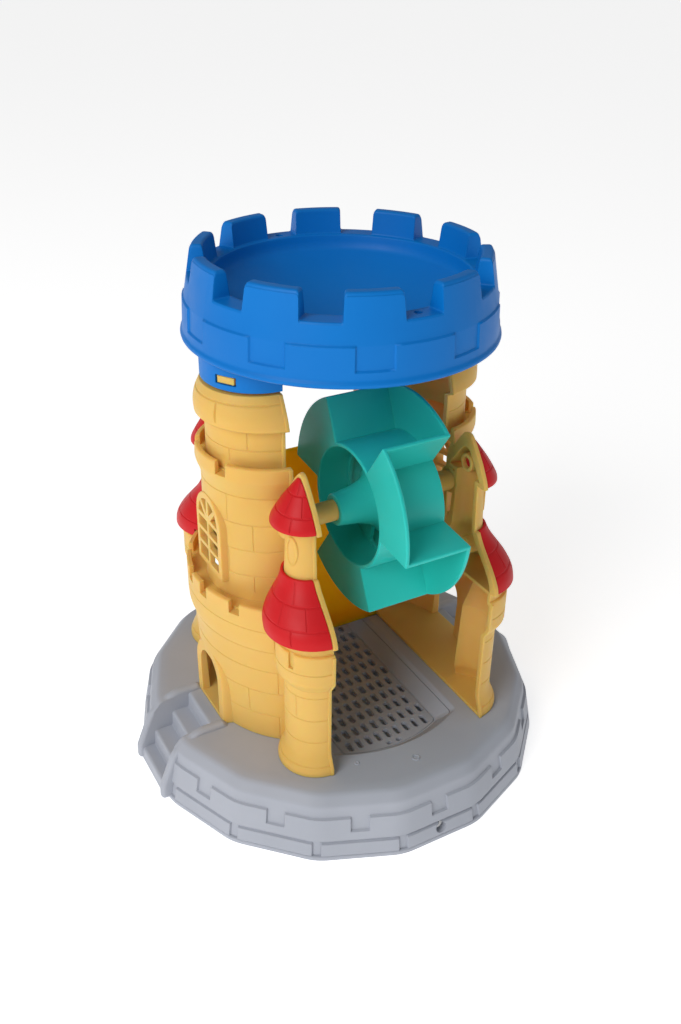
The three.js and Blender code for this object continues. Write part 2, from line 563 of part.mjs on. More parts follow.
for (const [size, shape, peg] of [['lower', BIG_ROOF, pegs[0]], ['upper', SMALL_ROOF, pegs[1]]]) {
  const back = geometryOf(roof(shape, peg));
  const front = mirrored(back, 'y');
  place(`right_back_${size}_roof`, back, 'red');
  place(`right_front_${size}_roof`, front, 'red');
  place(`left_back_${size}_roof`, mirrored(back, 'x'), 'red');
  place(`left_front_${size}_roof`, mirrored(front, 'x'), 'red');
}

export default group;
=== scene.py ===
import math

import bmesh
import bpy
from mathutils import Matrix, Vector


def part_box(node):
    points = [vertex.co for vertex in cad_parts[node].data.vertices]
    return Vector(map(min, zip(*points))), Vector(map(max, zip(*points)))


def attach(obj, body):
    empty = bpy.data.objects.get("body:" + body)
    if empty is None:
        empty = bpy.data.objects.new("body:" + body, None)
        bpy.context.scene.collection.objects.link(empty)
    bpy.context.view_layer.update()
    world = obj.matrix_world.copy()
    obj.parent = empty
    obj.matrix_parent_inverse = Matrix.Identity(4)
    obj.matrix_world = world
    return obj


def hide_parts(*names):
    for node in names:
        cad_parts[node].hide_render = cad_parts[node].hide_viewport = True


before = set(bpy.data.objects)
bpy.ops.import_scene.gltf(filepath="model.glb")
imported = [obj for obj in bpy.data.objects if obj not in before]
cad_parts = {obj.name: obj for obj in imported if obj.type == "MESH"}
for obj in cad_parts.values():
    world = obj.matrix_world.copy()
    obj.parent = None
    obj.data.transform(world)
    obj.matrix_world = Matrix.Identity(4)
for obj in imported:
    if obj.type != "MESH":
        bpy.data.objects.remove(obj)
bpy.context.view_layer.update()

MM = 0.001


def corner_of(node, end):
    """The lowest (0) or highest (1) corner of a CAD node's box, in millimetres."""
    return [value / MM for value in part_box(node)[end]]


# ---- places taken from the frame ----
DECK_Z = corner_of("right_tower", 0)[2] - 0.3
CUT_X = corner_of("right_tower", 0)[0]
TOP_Z = corner_of("hopper", 1)[2]
WHEEL_LOW, WHEEL_HIGH = corner_of("paddle_wheel", 0), corner_of("paddle_wheel", 1)
AXLE_LOW, AXLE_HIGH = corner_of("axle", 0), corner_of("axle", 1)
AXLE_Y, AXLE_Z = (AXLE_LOW[1] + AXLE_HIGH[1]) / 2, (AXLE_LOW[2] + AXLE_HIGH[2]) / 2
PANEL_LOW, PANEL_HIGH = corner_of("rear_panel", 0), corner_of("rear_panel", 1)

# ---- driving sizes ----
WALL = 2.4
GAP = 0.3
FACETS = 16
GROOVE = {"width": 1.5, "depth": 0.34}  # brick joints moulded into the walls
BASE = {"apothem": 133.4, "corner": 36, "brick": 1.5, "joint": 4.6, "notch": 11}
BASIN = {"half": 45, "front_r": 90, "back": 52, "depth": 10, "slope": 10}
STAIR = {"half": 18, "cheek": 6, "inner_x": 88, "outer_x": 138, "levels": (31, 20, 9, 0), "risers": (101, 113, 126, 135)}
SIEVE = {"pitch_x": 6.93, "pitch_y": 11.14, "length": 7.6, "width": 3.4}
STOREY_X = (25, 46.5, 49.5)
LEDGE = {"width": 3, "lower_z": 136, "upper_z": 218}
EAVE = ((49.5, 39.5, 246), (52, 37.4, 252), (54, 34.2, 258.5), (54.5, 31, 264.5))  # centre x, radius, height
KEEP_NECK = {"x": 53, "r": 28.5, "top": 277}
TURRET = {"foot_y": 70, "roof_y": 66.5, "neck_y": 58, "tip_y": 56.5, "neck_r": 12.6, "neck_top_r": 11.4}
BIG_ROOF = ((28.6, 138), (28.3, 143.5), (25.6, 150), (21.2, 156.8), (16.8, 163.6), (14.4, 169.5))
SMALL_ROOF = ((19.4, 200.4), (18.6, 203.6), (14.2, 211.3), (10.3, 216.9), (6.3, 222.3), (2.6, 226.8))
ROOF = {"wall": 2, "rim": 2.6, "peg_r": 3.4, "boss_r": 5.6}
DOOR = {"half": 13.5, "spring": 70, "frame": 7, "out_x": 92.5}
WINDOW = {"half": 13.6, "frame": 4, "sill": 150, "spring": 179, "out_x": 87.6, "bar": 2.3}
HOPPER = {"merlons": 10, "merlon_deg": 20.8, "crenel_z": 316, "flange_z": 283}
OUTLET = {"r": 6.5, "wall": 2.2, "bottom": 272}
COLLAR = {"x": 53, "r": 32, "bottom": 266, "thick": 2.4, "latch_z": 272, "latch_deg": 33}


# ---- mesh helpers ----
def made(points, faces):
    """A closed mesh object from points in millimetres, its faces turned outwards."""
    mesh = bpy.data.meshes.new("solid")
    mesh.from_pydata([[c * MM for c in p] for p in points], [], faces)
    work = bmesh.new()
    work.from_mesh(mesh)
    bmesh.ops.remove_doubles(work, verts=work.verts, dist=1e-6)
    bmesh.ops.recalc_face_normals(work, faces=work.faces)
    work.to_mesh(mesh)
    work.free()
    thing = bpy.data.objects.new("solid", mesh)
    bpy.context.scene.collection.objects.link(thing)
    return thing


def applied(thing):
    """Bakes the object's modifiers into its mesh."""
    graph = bpy.context.evaluated_depsgraph_get()
    baked = bpy.data.meshes.new_from_object(thing.evaluated_get(graph), depsgraph=graph)
    thing.modifiers.clear()
    thing.data = baked
    return thing


def copied(thing):
    twin = bpy.data.objects.new(thing.name, thing.data.copy())
    bpy.context.scene.collection.objects.link(twin)
    return twin


def boolean(body, operation, tools):
    for tool in tools:
        step = body.modifiers.new("boolean", "BOOLEAN")
        step.operation, step.solver, step.object = operation, "MANIFOLD", tool
    applied(body)
    for tool in tools:
        bpy.data.objects.remove(tool)
    return body


def joined(body, *tools):
    return boolean(body, "UNION", tools)


def cut(body, *tools):
    return boolean(body, "DIFFERENCE", tools)


def common(body, *tools):
    return boolean(body, "INTERSECT", tools)


def gathered(things):
    """Several solids that don't touch, as one object."""
    points, faces = [], []
    for thing in things:
        start = len(points)
        points += [v.co / MM for v in thing.data.vertices]
        faces += [[start + i for i in face.vertices] for face in thing.data.polygons]
        bpy.data.objects.remove(thing)
    return made(points, faces)


def eased(thing, width, segments=3, limit=40):
    """The same solid with its sharp edges rounded."""
    bevel = thing.modifiers.new("bevel", "BEVEL")
    bevel.width, bevel.segments = width * MM, segments
    bevel.limit_method, bevel.angle_limit = "ANGLE", math.radians(limit)
    return applied(thing)


def mirrored(thing, axis):
    twin = copied(thing)
    twin.data.transform(Matrix.Scale(-1, 4, axis))
    twin.data.flip_normals()
    return twin


def both_ends(things):
    """These solids and their mirror images at the other end of Y."""
    return list(things) + [mirrored(thing, Vector((0, 1, 0))) for thing in things]


def lofted(rings):
    """A closed body through rings of the same number of points, first and last ring capped."""
    count = len(rings[0])
    faces = [list(range(count)), [len(rings) * count - 1 - i for i in range(count)]]
    for level in range(len(rings) - 1):
        for i in range(count):
            a, b = level * count + i, level * count + (i + 1) % count
            faces.append([a, b, b + count, a + count])
    return made([p for ring in rings for p in ring], faces)


def extruded(outline, axis, low, high):
    """A flat outline swept along X from [y, z], along Y from [x, z] or along Z from [x, y]."""
    def place(a, b, level):
        return {"X": (level, a, b), "Y": (a, level, b), "Z": (a, b, level)}[axis]
    return lofted([[place(a, b, level) for a, b in outline] for level in (low, high)])


def block(low, high):
    (x0, y0, z0), (x1, y1, z1) = low, high
    return extruded([(x0, y0), (x1, y0), (x1, y1), (x0, y1)], "Z", z0, z1)


def swept(profile, columns, closed):
    """A surface of revolution through profile copies; columns place (r, z) for each step round."""
    rows = len(profile)
    points = [place(r, z) for place in columns for r, z in profile]
    faces = []
    for k in range(len(columns)):
        here, on = k * rows, (k + 1) % len(columns) * rows
        for i in range(rows if closed else rows - 1):
            j = (i + 1) % rows
            faces.append([here + i, on + i, on + j, here + j])
    return made(points, faces)


def turned(profile, x=0, y=0, segments=96, ring=False, lean=0, lean_z=0):
    """A solid of revolution about a vertical or leaning axis at x, y from (r, z) pairs."""
    def column(k):
        turn = 2 * math.pi * (k + 0.5) / segments
        return lambda r, z: (x + r * math.cos(turn), y + lean * (z - lean_z) + r * math.sin(turn), z)
    return swept(profile, [column(k) for k in range(segments)], ring)


def bar(r, x0, x1, y, z, segments=32, ease=0):
    """A round bar along X, its ends rounded by ease."""
    def column(k):
        turn = 2 * math.pi * k / segments
        return lambda a, along: (along, y + a * math.cos(turn), z + a * math.sin(turn))
    profile = rounded([(0, x0, 0), (r, x0, ease), (r, x1, ease), (0, x1, 0)], closed=False)
    return swept(profile, [column(k) for k in range(segments)], False)


def rounded(corners, closed=True, steps=4):
    """Points (a, b, radius) as an outline whose corners are arcs of that radius."""
    outline = []
    for i, (a, b, radius) in enumerate(corners):
        here = Vector((a, b))
        if radius <= 0 or (not closed and i in (0, len(corners) - 1)):
            outline.append((a, b))
            continue
        back = Vector(corners[i - 1][:2]) - here
        on = Vector(corners[(i + 1) % len(corners)][:2]) - here
        half = back.angle(on) / 2
        reach = min(radius / math.tan(half), 0.48 * back.length, 0.48 * on.length)
        back, on = back.normalized(), on.normalized()
        centre = here + (back + on).normalized() * reach / math.cos(half)
        start, end = here + back * reach - centre, here + on * reach - centre
        sweep = math.atan2(start.x * end.y - start.y * end.x, start.dot(end))
        for k in range(steps + 1):
            turn = sweep * k / steps
            outline.append((centre.x + start.x * math.cos(turn) - start.y * math.sin(turn),
                            centre.y + start.x * math.sin(turn) + start.y * math.cos(turn)))
    return outline


def curved(points, steps=4):
    """A smooth line through (a, b) points."""
    line = []
    ends = [points[0]] + list(points) + [points[-1]]
    for p0, p1, p2, p3 in zip(ends, ends[1:], ends[2:], ends[3:]):
        for k in range(steps):
            t = k / steps
            line.append(tuple(0.5 * (2 * b + (c - a) * t + (2 * a - 5 * b + 4 * c - d) * t * t
                                     + (3 * b - a - 3 * c + d) * t ** 3)
                              for a, b, c, d in zip(p0, p1, p2, p3)))
    return line + [tuple(points[-1])]


def arch(half, bottom, spring, steps=20):
    """An upright arch outline [y, z], half-round on top."""
    turns = [math.pi * i / steps for i in range(steps + 1)]
    top = [(half * math.cos(t), spring + half * math.sin(t)) for t in turns]
    return [(-half, bottom), (half, bottom)] + top


# ---- base: faceted skirt with moulded bricks, sunk basin and two stair flights ----
def skirt_columns():
    """Steps round the base: (facet angle, distance from the facet's middle along the outline)."""
    straight, reach = facet_lengths()
    joint, notch = reach - BASE["joint"] / 2, BASE["notch"] / 2
    stops = [notch, notch + 0.5, 12, 16, straight, straight + 1.2, straight + 2.4, joint - 1.6, joint - 0.5, joint,
             reach - 1.1]
    steps = []
    for facet in range(FACETS):
        angle = math.radians(-90 + facet * 360 / FACETS)
        steps += [(angle, along) for along in [-s for s in reversed(stops)] + [0] + stops + [reach]]
    return steps


def facet_lengths():
    """Half of a facet's flat part, and the same with its share of the rounded corner."""
    straight = (BASE["apothem"] - BASE["corner"]) * math.tan(math.pi / FACETS)
    return straight, straight + BASE["corner"] * math.pi / FACETS


def stepped(value, edge, slope=0.5):
    """0 before an edge and 1 after it, with a short slope between."""
    return min(1, max(0, (value - edge) / slope))


def brick_relief(along, z):
    """How far the skirt's moulded bricks stand out, from 0 to 1."""
    from_vertex = facet_lengths()[1] - abs(along)
    lower = stepped(z, 2.6) * (1 - stepped(z, 11)) * stepped(from_vertex, BASE["joint"] / 2)
    open_notch = 1 - stepped(abs(along), BASE["notch"] / 2)
    upper = stepped(z, 12.8) * (1 - stepped(z, 27.6)) * (1 - open_notch * stepped(z, 18.6))
    return max(lower, upper)


def skirt(inset, relief):
    """The base's outer body; with relief, its bricks stand out."""
    wall = rounded([(BASE["apothem"], 0, 0), (BASE["apothem"], 2.6, 1), (131.4, 2.7, 0.4), (130, 12, 0),
                    (126.9, 28, 0), (125.6, 35, 5), (120.5, DECK_Z - 1.2, 6), (113, DECK_Z, 3)], closed=False)
    marks = [3.1, 11, 11.5, 12.8, 13.3, 18.6, 19.1, 27.6, 28.1]
    rows = [(a, z) for a, z in wall] + [(130 - (z - 12) * 0.194, z) for z in marks]
    rows = sorted(set(rows), key=lambda p: (p[1], -p[0]))
    reference, corner = BASE["apothem"], BASE["corner"]
    straight = facet_lengths()[0]
    points = []
    for angle, along in skirt_columns():
        normal = Vector((math.cos(angle), math.sin(angle)))
        side = Vector((-normal.y, normal.x))
        turn = max(0, abs(along) - straight) / corner * (1 if along > 0 else -1)
        facing = Vector((math.cos(angle + turn), math.sin(angle + turn)))
        flat = max(-straight, min(straight, along))
        plan = normal * (reference - corner) + side * flat + facing * corner
        for a, z in rows:
            out = BASE["brick"] * brick_relief(along, z) if relief else 0
            spot = plan * ((a - inset) / reference) + facing * out
            points.append((spot.x, spot.y, z))
    count = len(rows)
    columns = len(points) // count
    faces = [[k * count for k in range(columns)], [k * count + count - 1 for k in range(columns)]]
    for k in range(columns):
        here, on = k * count, (k + 1) % columns * count
        faces += [[here + i, on + i, on + i + 1, here + i + 1] for i in range(count - 1)]
    return made(points, faces)


def basin_outline(inset, bulge=0):
    half, radius = BASIN["half"] - inset, BASIN["front_r"] - inset
    back = BASIN["back"] - inset / 3
    side = math.asin((half - 3) / radius)
    arc = [(radius * math.sin(t), -radius * math.cos(t)) for t in (side * k / 12 for k in range(-12, 13))]
    corners = [(x, y, 0) for x, y in arc[1:-1]]
    corners = [(-half, -radius * math.cos(side) + 1, 4)] + corners + [(half, -radius * math.cos(side) + 1, 4)]
    corners += [(half, back, 4), (-half, back, 4)]
    return [(x, y) for x, y in rounded(corners)]


def basin_body(outset, bottom, top):
    """The basin's space: sloping sides and a rounded edge where it meets the deck."""
    levels = [(BASIN["slope"], bottom), (BASIN["slope"], DECK_Z - BASIN["depth"]), (0.9, DECK_Z - 0.9),
              (0.2, DECK_Z - 0.35), (-0.8, DECK_Z), (-0.8, top)]
    return lofted([[(x, y, z) for x, y in basin_outline(inset - outset)] for inset, z in levels])


def cheek_outline(side):
    """The stair's side rail seen along Y: up beside the door, over the shoulder, down to a foot."""
    inner, outer = STAIR["inner_x"], STAIR["outer_x"]
    line = [(inner, 30, 0), (inner, 40, 0), (inner + 5.5, 45.2, 3), (inner + 23, 45.2, 16), (outer - 10, 34, 16),
            (outer - 0.5, 10, 8), (outer, 0, 0), (outer - 12, 0, 0), (outer - 18, 20, 8), (inner + 16, 30, 6)]
    return [(side * x, z) for x, z in rounded(line, steps=6)]


def stair_flight(side):
    """Treads with rounded noses between two tubular cheeks."""
    half, cheek = STAIR["half"], STAIR["cheek"]
    line, level = [(90, 0, 0)], DECK_Z
    line.append((90, level, 0))
    for riser, below in zip(STAIR["risers"], STAIR["levels"]):
        line += [(riser, level, 2), (riser + 0.7, below, 0.8 if below else 0)]
        level = below
    treads = extruded([(side * x, z) for x, z in rounded(line)], "Y", -half - 1, half + 1)
    cheeks = [eased(extruded(cheek_outline(side), "Y", end * half, end * (half + cheek)), 2.4, 5)
              for end in (-1, 1)]
    return joined(treads, *cheeks)


def mill_base():
    body = skirt(0, True)
    low = BASE["apothem"] + 20
    wells = [block((min(s * 98, s * low), -STAIR["half"], -1), (max(s * 98, s * low), STAIR["half"], 60))
             for s in (1, -1)]
    body = cut(body, *wells)
    body = joined(body, stair_flight(1), stair_flight(-1))
    inner = cut(skirt(WALL + 0.6, False), block((-150, -150, DECK_Z - WALL), (150, 150, 60)),
                block((84, -27, -5), (150, 27, 60)), block((-150, -27, -5), (-84, 27, 60)))
    inner.data.transform(Matrix.Translation((0, 0, -0.4 * MM)))
    body = cut(body, inner, *[under_stair(side) for side in (1, -1)])
    tray = basin_body(WALL, DECK_Z - BASIN["depth"] - WALL, DECK_Z - 0.5)
    body = joined(body, cut(tray, block((-80, -120, DECK_Z - 0.5), (80, 80, 60))))
    body = cut(body, basin_body(0, DECK_Z - BASIN["depth"], 50), floor_opening())
    drain = turned([(0, -3), (3.5, -3), (3.5, 12), (0, 12)], segments=24)
    drain.data.transform(Matrix.Translation(Vector((0, -126, 8)) * MM) @ Matrix.Rotation(math.pi / 2, 4, "X"))
    stops = [turned(rounded([(r, DECK_Z - 0.2, 0), (r, DECK_Z + 0.5, 0.4), (r - 0.9, DECK_Z + 0.5, 0.4),
                             (r - 0.9, DECK_Z - 0.2, 0)]), x, y, 24, ring=True)
             for r, x, y in ((2.6, -2, -104), (1.6, -36, -91))]
    return joined(cut(body, drain), *stops)


def under_stair(side):
    """The space under a flight, open to the ground."""
    reach = STAIR["half"] + STAIR["cheek"] - WALL
    levels = (DECK_Z,) + STAIR["levels"]
    spans = [(86, riser - WALL, level - WALL) for riser, level in zip(STAIR["risers"], levels)]
    parts = [block((min(side * a, side * b), -reach, -1), (max(side * a, side * b), reach, z)) for a, b, z in spans]
    return joined(parts[0], *parts[1:])


def floor_opening():
    outline = basin_outline(BASIN["slope"] + 0.8)
    return extruded(outline, "Z", DECK_Z - BASIN["depth"] - 8, DECK_Z - BASIN["depth"] + 1)


# ---- sieve: slotted plate in the basin's floor ----
def basin_sieve():
    floor = DECK_Z - BASIN["depth"]
    plate = extruded(basin_outline(BASIN["slope"] + 1.1), "Z", floor - WALL, floor)
    half = BASIN["half"] - BASIN["slope"] - 1.8
    slots = []
    for row in range(-8, 5):
        y = -0.7 + row * SIEVE["pitch_y"]
        for column in range(-6, 7):
            x = (column + row % 2 / 2) * SIEVE["pitch_x"]
            front = -math.sqrt((BASIN["front_r"] - BASIN["slope"] - 2.6) ** 2 - x * x)
            near, far = max(y - SIEVE["length"] / 2, front), min(y + SIEVE["length"] / 2, BASIN["back"] - 5.5)
            if abs(x) + SIEVE["width"] / 2 > half or far - near < 2:
                continue
            w = SIEVE["width"] / 2
            outline = rounded([(x - w, near, 1.3), (x + w, near, 1.3), (x + w, far, 1.3), (x - w, far, 1.3)], steps=3)
            rings = [(1.0, floor - 6), (1.0, floor - 0.4), (1.08, floor), (1.08, floor + 3)]
            slots.append(lofted([[(x + (a - x) * grow, (near + far) / 2 + (b - (near + far) / 2) * grow, z)
                                  for a, b in outline] for grow, z in rings]))
    return cut(plate, gathered(slots))


# ---- half tower, right side; the left one is its mirror image ----
def radius_at(profile, z):
    """A wall profile's radius at height z."""
    for (r0, z0), (r1, z1) in zip(profile, profile[1:]):
        if z0 <= z <= z1 and z1 > z0:
            return r0 + (r1 - r0) * (z - z0) / (z1 - z0)
    return profile[-1][0]


def bricked(body, profile, x, y, courses, joints):
    """Cuts brick joints into a round wall: rings at the courses, uprights as (degrees, z0, z1)."""
    depth, half = GROOVE["depth"], GROOVE["width"] / 2
    rings = [turned([(radius_at(profile, z) + 1.2, z - half - 0.5), (radius_at(profile, z) + 1.2, z + half + 0.5),
                     (radius_at(profile, z) - depth, z + half * 0.35), (radius_at(profile, z) - depth, z - half * 0.35)],
                    x, y, 96, ring=True) for z in courses]
    uprights = []
    for degrees, z0, z1 in joints:
        turn = math.radians(degrees)
        out, side = Vector((math.cos(turn), math.sin(turn))), Vector((-math.sin(turn), math.cos(turn)))
        levels = []
        for z in (z0 - 0.3, z1 + 0.3):
            r = radius_at(profile, z)
            spots = [out * (r + 1.2) + side * (half + 0.5), out * (r - depth) + side * half * 0.35,
                     out * (r - depth) - side * half * 0.35, out * (r + 1.2) - side * (half + 0.5)]
            levels.append([(x + s.x, y + s.y, z) for s in spots])
        uprights.append(lofted(levels))
    tools = ([gathered(rings)] if rings else []) + ([gathered(uprights)] if uprights else [])
    return cut(body, *tools)


def both_sides(angles):
    return [sign * a for a in angles for sign in (1, -1) if a or sign > 0]


def lower_storey():
    wall = [(66, DECK_Z + GAP), (67, 66), (68, 90), (68.6, 104), (70, 110), (72.2, 117), (72.5, 122), (72.5, 143)]
    courses = [60.5, 78.5, 95.5, 112, 127.5]
    spans = list(zip([DECK_Z + 1] + courses, courses))
    joints = []
    for i, (z0, z1) in enumerate(spans):
        joints += [(a, z0, z1) for a in both_sides((33,) if i % 2 else (50,))]
    body = turned([(0, wall[0][1])] + rounded([(r, z, 0) for r, z in wall[:-1]] + [(72.5, 142.4, 1.2), (0, 142.4, 0)],
                  closed=False), STOREY_X[0], 0, 128)
    return bricked(body, wall, STOREY_X[0], 0, courses, joints)


def middle_storey():
    wall = [(40.5, 100), (40.5, 205), (41, 209), (43, 214.5), (43.5, 217), (43.2, 224.5)]
    courses = [153.2, 170.3, 187.5, 205]
    joints = []
    for i, (z0, z1) in enumerate(zip([LEDGE["lower_z"]] + courses, courses)):
        joints += [(a, z0, z1) for a in both_sides((27,) if i % 2 else (50,))]
    body = turned([(0, 100)] + rounded([(r, z, 0) for r, z in wall[:-1]] + [(43.2, 224.5, 1.2), (0, 224.5, 0)],
                  closed=False), STOREY_X[1], 0, 112)
    return bricked(body, wall, STOREY_X[1], 0, courses, joints)


def keep_storey():
    wall = [(34, 190), (34, 246)]
    body = turned([(0, 190), (34, 190), (34, 245), (0, 245)], STOREY_X[2], 0, 96)
    joints = [(a, 232, 243.4) for a in both_sides((49,))] + [(a, 225, 232) for a in both_sides((30,))]
    body = joined(bricked(body, wall, STOREY_X[2], 0, [232], joints), eave(0))
    slope = [(35.4, 247), (35.5, 252), (34.2, 258.5), (31, 264.5)]
    return bricked(body, slope, EAVE[2][0], 0, [260], [(a, 248.5, 259.6) for a in both_sides((26,))])


def eave(inset):
    """The bulging, outward leaning top of the keep."""
    radii = curved([(r, z) for _, r, z in EAVE])
    centres = curved([(x, z) for x, _, z in EAVE])
    rings = [(EAVE[0][0], 34 - inset, 243.2), (EAVE[0][0], EAVE[0][1] - 0.5 - inset, 245.4)]
    rings += [(x, r - inset, z) for (x, z), (r, _) in zip(centres, radii)]
    rings[-1] = (rings[-1][0], rings[-1][1], rings[-1][2] - inset)
    turns = [2 * math.pi * (k + 0.5) / 96 for k in range(96)]
    return lofted([[(x + r * math.cos(t), r * math.sin(t), z) for t in turns] for x, r, z in rings])


def roof_profile(rings, grow, bottom=None):
    """A roof's outline from its axis at the bottom round to its axis at the top."""
    closed_tip = rings[-1][0] < 5
    body = curved([(r + (grow if not closed_tip or i < 1 else 0), z + (1.6 * grow if closed_tip and i else 0))
                   for i, (r, z) in enumerate(rings)], 5)
    start = rings[0][1] - max(grow, 0) / 2 if bottom is None else bottom
    body = [p for p in body if p[1] >= start - 0.2] if start > rings[0][1] else body
    head = [(0, body[-1][1])]
    if closed_tip:
        body = [p for p in body if p[0] > 3.4]
        tip_r, tip_z = body[-1]
        slope = (rings[-2][0] - rings[-1][0]) / (rings[-1][1] - rings[-2][1])
        ball = tip_r * math.sqrt(1 + slope * slope) / 1
        drop = tip_r * slope
        limit = math.atan2(1, slope)
        head = [(ball * math.cos(t), tip_z - drop + ball * math.sin(t))
                for t in (math.atan(slope) + (math.pi / 2 - math.atan(slope)) * k / 5 for k in range(1, 5))]
        head.append((0, tip_z - drop + ball))
    first = (body[0][0], start)
    foot = [(0, start), first] if abs(start - body[0][1]) > 0.2 else [(0, start)]
    return foot + body + head


def lean_of(rings):
    """Where a roof's axis stands at its foot, and how far it leans for each millimetre up."""
    if rings[-1][0] < 5:
        return TURRET["tip_y"], 0
    return TURRET["roof_y"], (TURRET["neck_y"] - TURRET["roof_y"]) / (rings[-1][1] - rings[0][1])


def roof_body(rings, grow, bottom=None):
    foot, lean = lean_of(rings)
    return turned(roof_profile(rings, grow, bottom), CUT_X, foot, 80, lean=lean, lean_z=rings[0][1])


def turret_parts(inset):
    """Shaft, room under the big roof, neck and room under the small roof."""
    under = -ROOF["wall"] - GAP - inset
    low = DECK_Z + GAP - (1 if inset else 0)
    shaft = [(23 - inset, low), (23 - inset, 45.5), (21.4 - inset, 50), (19.2 - inset, 55), (18.7 - inset, 60),
             (18.7 - inset, 103.5), (20.5 - inset, 106), (23.2 - inset, 110.5), (23.5 - inset, 113),
             (23.5 - inset, 130 - inset), (22.9 - inset, 131 - inset), (21.4 - inset, 131.2 - inset),
             (21.4 - inset, 138 - inset)]
    closed = [(0, low)] + curved(shaft[:5], 3) + curved(shaft[5:9], 3) + shaft[9:] + [(0, 138 - inset)]
    body = turned(closed, CUT_X, TURRET["foot_y"], 72)
    foot_r, top_r = TURRET["neck_r"] - inset, TURRET["neck_top_r"] - inset
    neck = turned([(0, 150), (foot_r, 150), (foot_r, 166), ((foot_r + top_r) / 2, 178), (top_r, 192), (top_r, 203),
                   (0, 203)], CUT_X, TURRET["neck_y"], 72)
    if not inset:
        joints = [(25, 82, 98.5), (32, 49, 65.5)]
        body = bricked(body, shaft, CUT_X, TURRET["foot_y"], [49, 65.5, 82, 98.5, 119], joints)
        slot = block((21.9, -1.6, 121), (26, 1.6, 135))
        slot.data.transform(Matrix.Translation((CUT_X * MM, TURRET["foot_y"] * MM, 0))
                            @ Matrix.Rotation(math.radians(25), 4, "Z"))
        body = cut(body, slot)
        neck = joined(neck, neck_badge())
    return [body, roof_body(BIG_ROOF, under, 136.5 + inset / 2), neck, roof_body(SMALL_ROOF, under, 200.8 + inset / 2)]


def neck_badge():
    """The raised oval ring on a turret's neck."""
    middle, turn, r = 185.5, math.radians(20), TURRET["neck_top_r"] + 0.2
    rings = []
    for k in range(40):
        round_turn = 2 * math.pi * k / 40
        ring = []
        for j in range(8):
            tube = 2 * math.pi * j / 8
            a = (3.6 + 0.9 * math.cos(tube)) * math.cos(round_turn)
            b = (8.4 + 0.9 * math.cos(tube)) * math.sin(round_turn)
            at = turn + a / r
            out = r + 0.9 * math.sin(tube)
            ring.append((CUT_X + out * math.cos(at), TURRET["neck_y"] + out * math.sin(at), middle + b))
        rings.append(ring)
    points = [p for ring in rings for p in ring]
    faces = [[k * 8 + j, (k + 1) % 40 * 8 + j, (k + 1) % 40 * 8 + (j + 1) % 8, k * 8 + (j + 1) % 8]
             for k in range(40) for j in range(8)]
    return made(points, faces)


def storey_spaces():
    lower = [(66 - WALL, DECK_Z), (68 - WALL, 90), (68.6 - WALL, 106), (72.3 - WALL, 120), (72.5 - WALL, 133.6)]
    middle = [(40.5 - WALL, 100), (40.5 - WALL, 205), (43.5 - WALL, 215), (43.5 - WALL, 215.6)]
    keep = [(34 - WALL, 190), (34 - WALL, 245)]
    rooms = [turned([(0, wall[0][1])] + wall + [(0, wall[-1][1])], x, 0, 96)
             for wall, x in zip((lower, middle, keep), STOREY_X)]
    return rooms + [eave(WALL)]


def walkways():
    """The spaces behind both notched parapets, open at the top."""
    lower = turned(rounded([(0, LEDGE["lower_z"], 0), (72.5 - LEDGE["width"], LEDGE["lower_z"], 0.8),
                            (72.5 - LEDGE["width"], 150, 0), (0, 150, 0)], closed=False), STOREY_X[0], 0, 128)
    upper = turned(rounded([(0, LEDGE["upper_z"], 0), (43.4 - LEDGE["width"], LEDGE["upper_z"], 0.8),
                            (43.4 - LEDGE["width"], 231, 0), (0, 231, 0)], closed=False), STOREY_X[1], 0, 112)
    middle = turned([(0, 90), (40.5, 90), (40.5, 160), (0, 160)], STOREY_X[1], 0, 112)
    keep = turned([(0, 200), (34, 200), (34, 240), (0, 240)], STOREY_X[2], 0, 96)
    turrets = both_ends([turned([(0, 100), (23.5, 100), (23.5, 136), (0, 136)], CUT_X, TURRET["foot_y"], 72),
                         roof_body(BIG_ROOF, -ROOF["wall"] - GAP, 136.5)])
    return joined(cut(lower, middle, *turrets), cut(upper, keep))


def roof_rims():
    """The flat rim at the cut plane that each roof butts against, eased along its outer edge."""
    slab = block((CUT_X, 0, 100), (CUT_X + ROOF["rim"], 120, 240))
    return [common(roof_body(rings, 1.0), copied(slab)) for rings in (BIG_ROOF, SMALL_ROOF)] + [slab]


def cut_rim():
    """The slightly proud edge that runs round every storey and turret at the cut plane."""
    proud = 0.7
    walls = (((66, DECK_Z + GAP), (68, 90), (68.6, 104), (70, 110), (72.2, 117), (72.5, 122), (72.5, 142)),
             ((40.5, 138), (40.5, 205), (41, 209), (43, 214.5), (43.5, 217), (43.2, 224)),
             ((34, 220), (34, 243.5)))
    rings = []
    for wall, x in zip(walls, STOREY_X):
        inner = [(r - WALL, z) for r, z in reversed(wall)]
        rings.append(turned([(r + proud, z) for r, z in wall] + inner, x, 0, 112, ring=True))
    eaves = cut(eave(-proud), eave(WALL), block((-90, -90, 264.3), (90, 90, 280)))
    foot_r, top_r = TURRET["neck_r"] + proud, TURRET["neck_top_r"] + proud
    shaft = [(23.6, DECK_Z + GAP), (23.6, 46), (19.8, 56), (19.4, 60), (19.4, 103.5), (23.8, 110.5), (24.1, 130),
             (24.1 - WALL, 130), (17, 104), (17, 60), (20, DECK_Z + GAP)]
    neck = [(foot_r, 160), (foot_r, 166), (top_r, 192), (top_r, 199), (top_r - WALL, 199), (foot_r - WALL, 160)]
    rings += [eaves] + both_ends([turned(shaft, CUT_X, TURRET["foot_y"], 72, ring=True),
                                  turned(neck, CUT_X, TURRET["neck_y"], 72, ring=True)])
    slab = block((CUT_X, -130, 0), (CUT_X + 1.9, 130, 300))
    return [common(ring, copied(slab)) for ring in rings] + [slab]


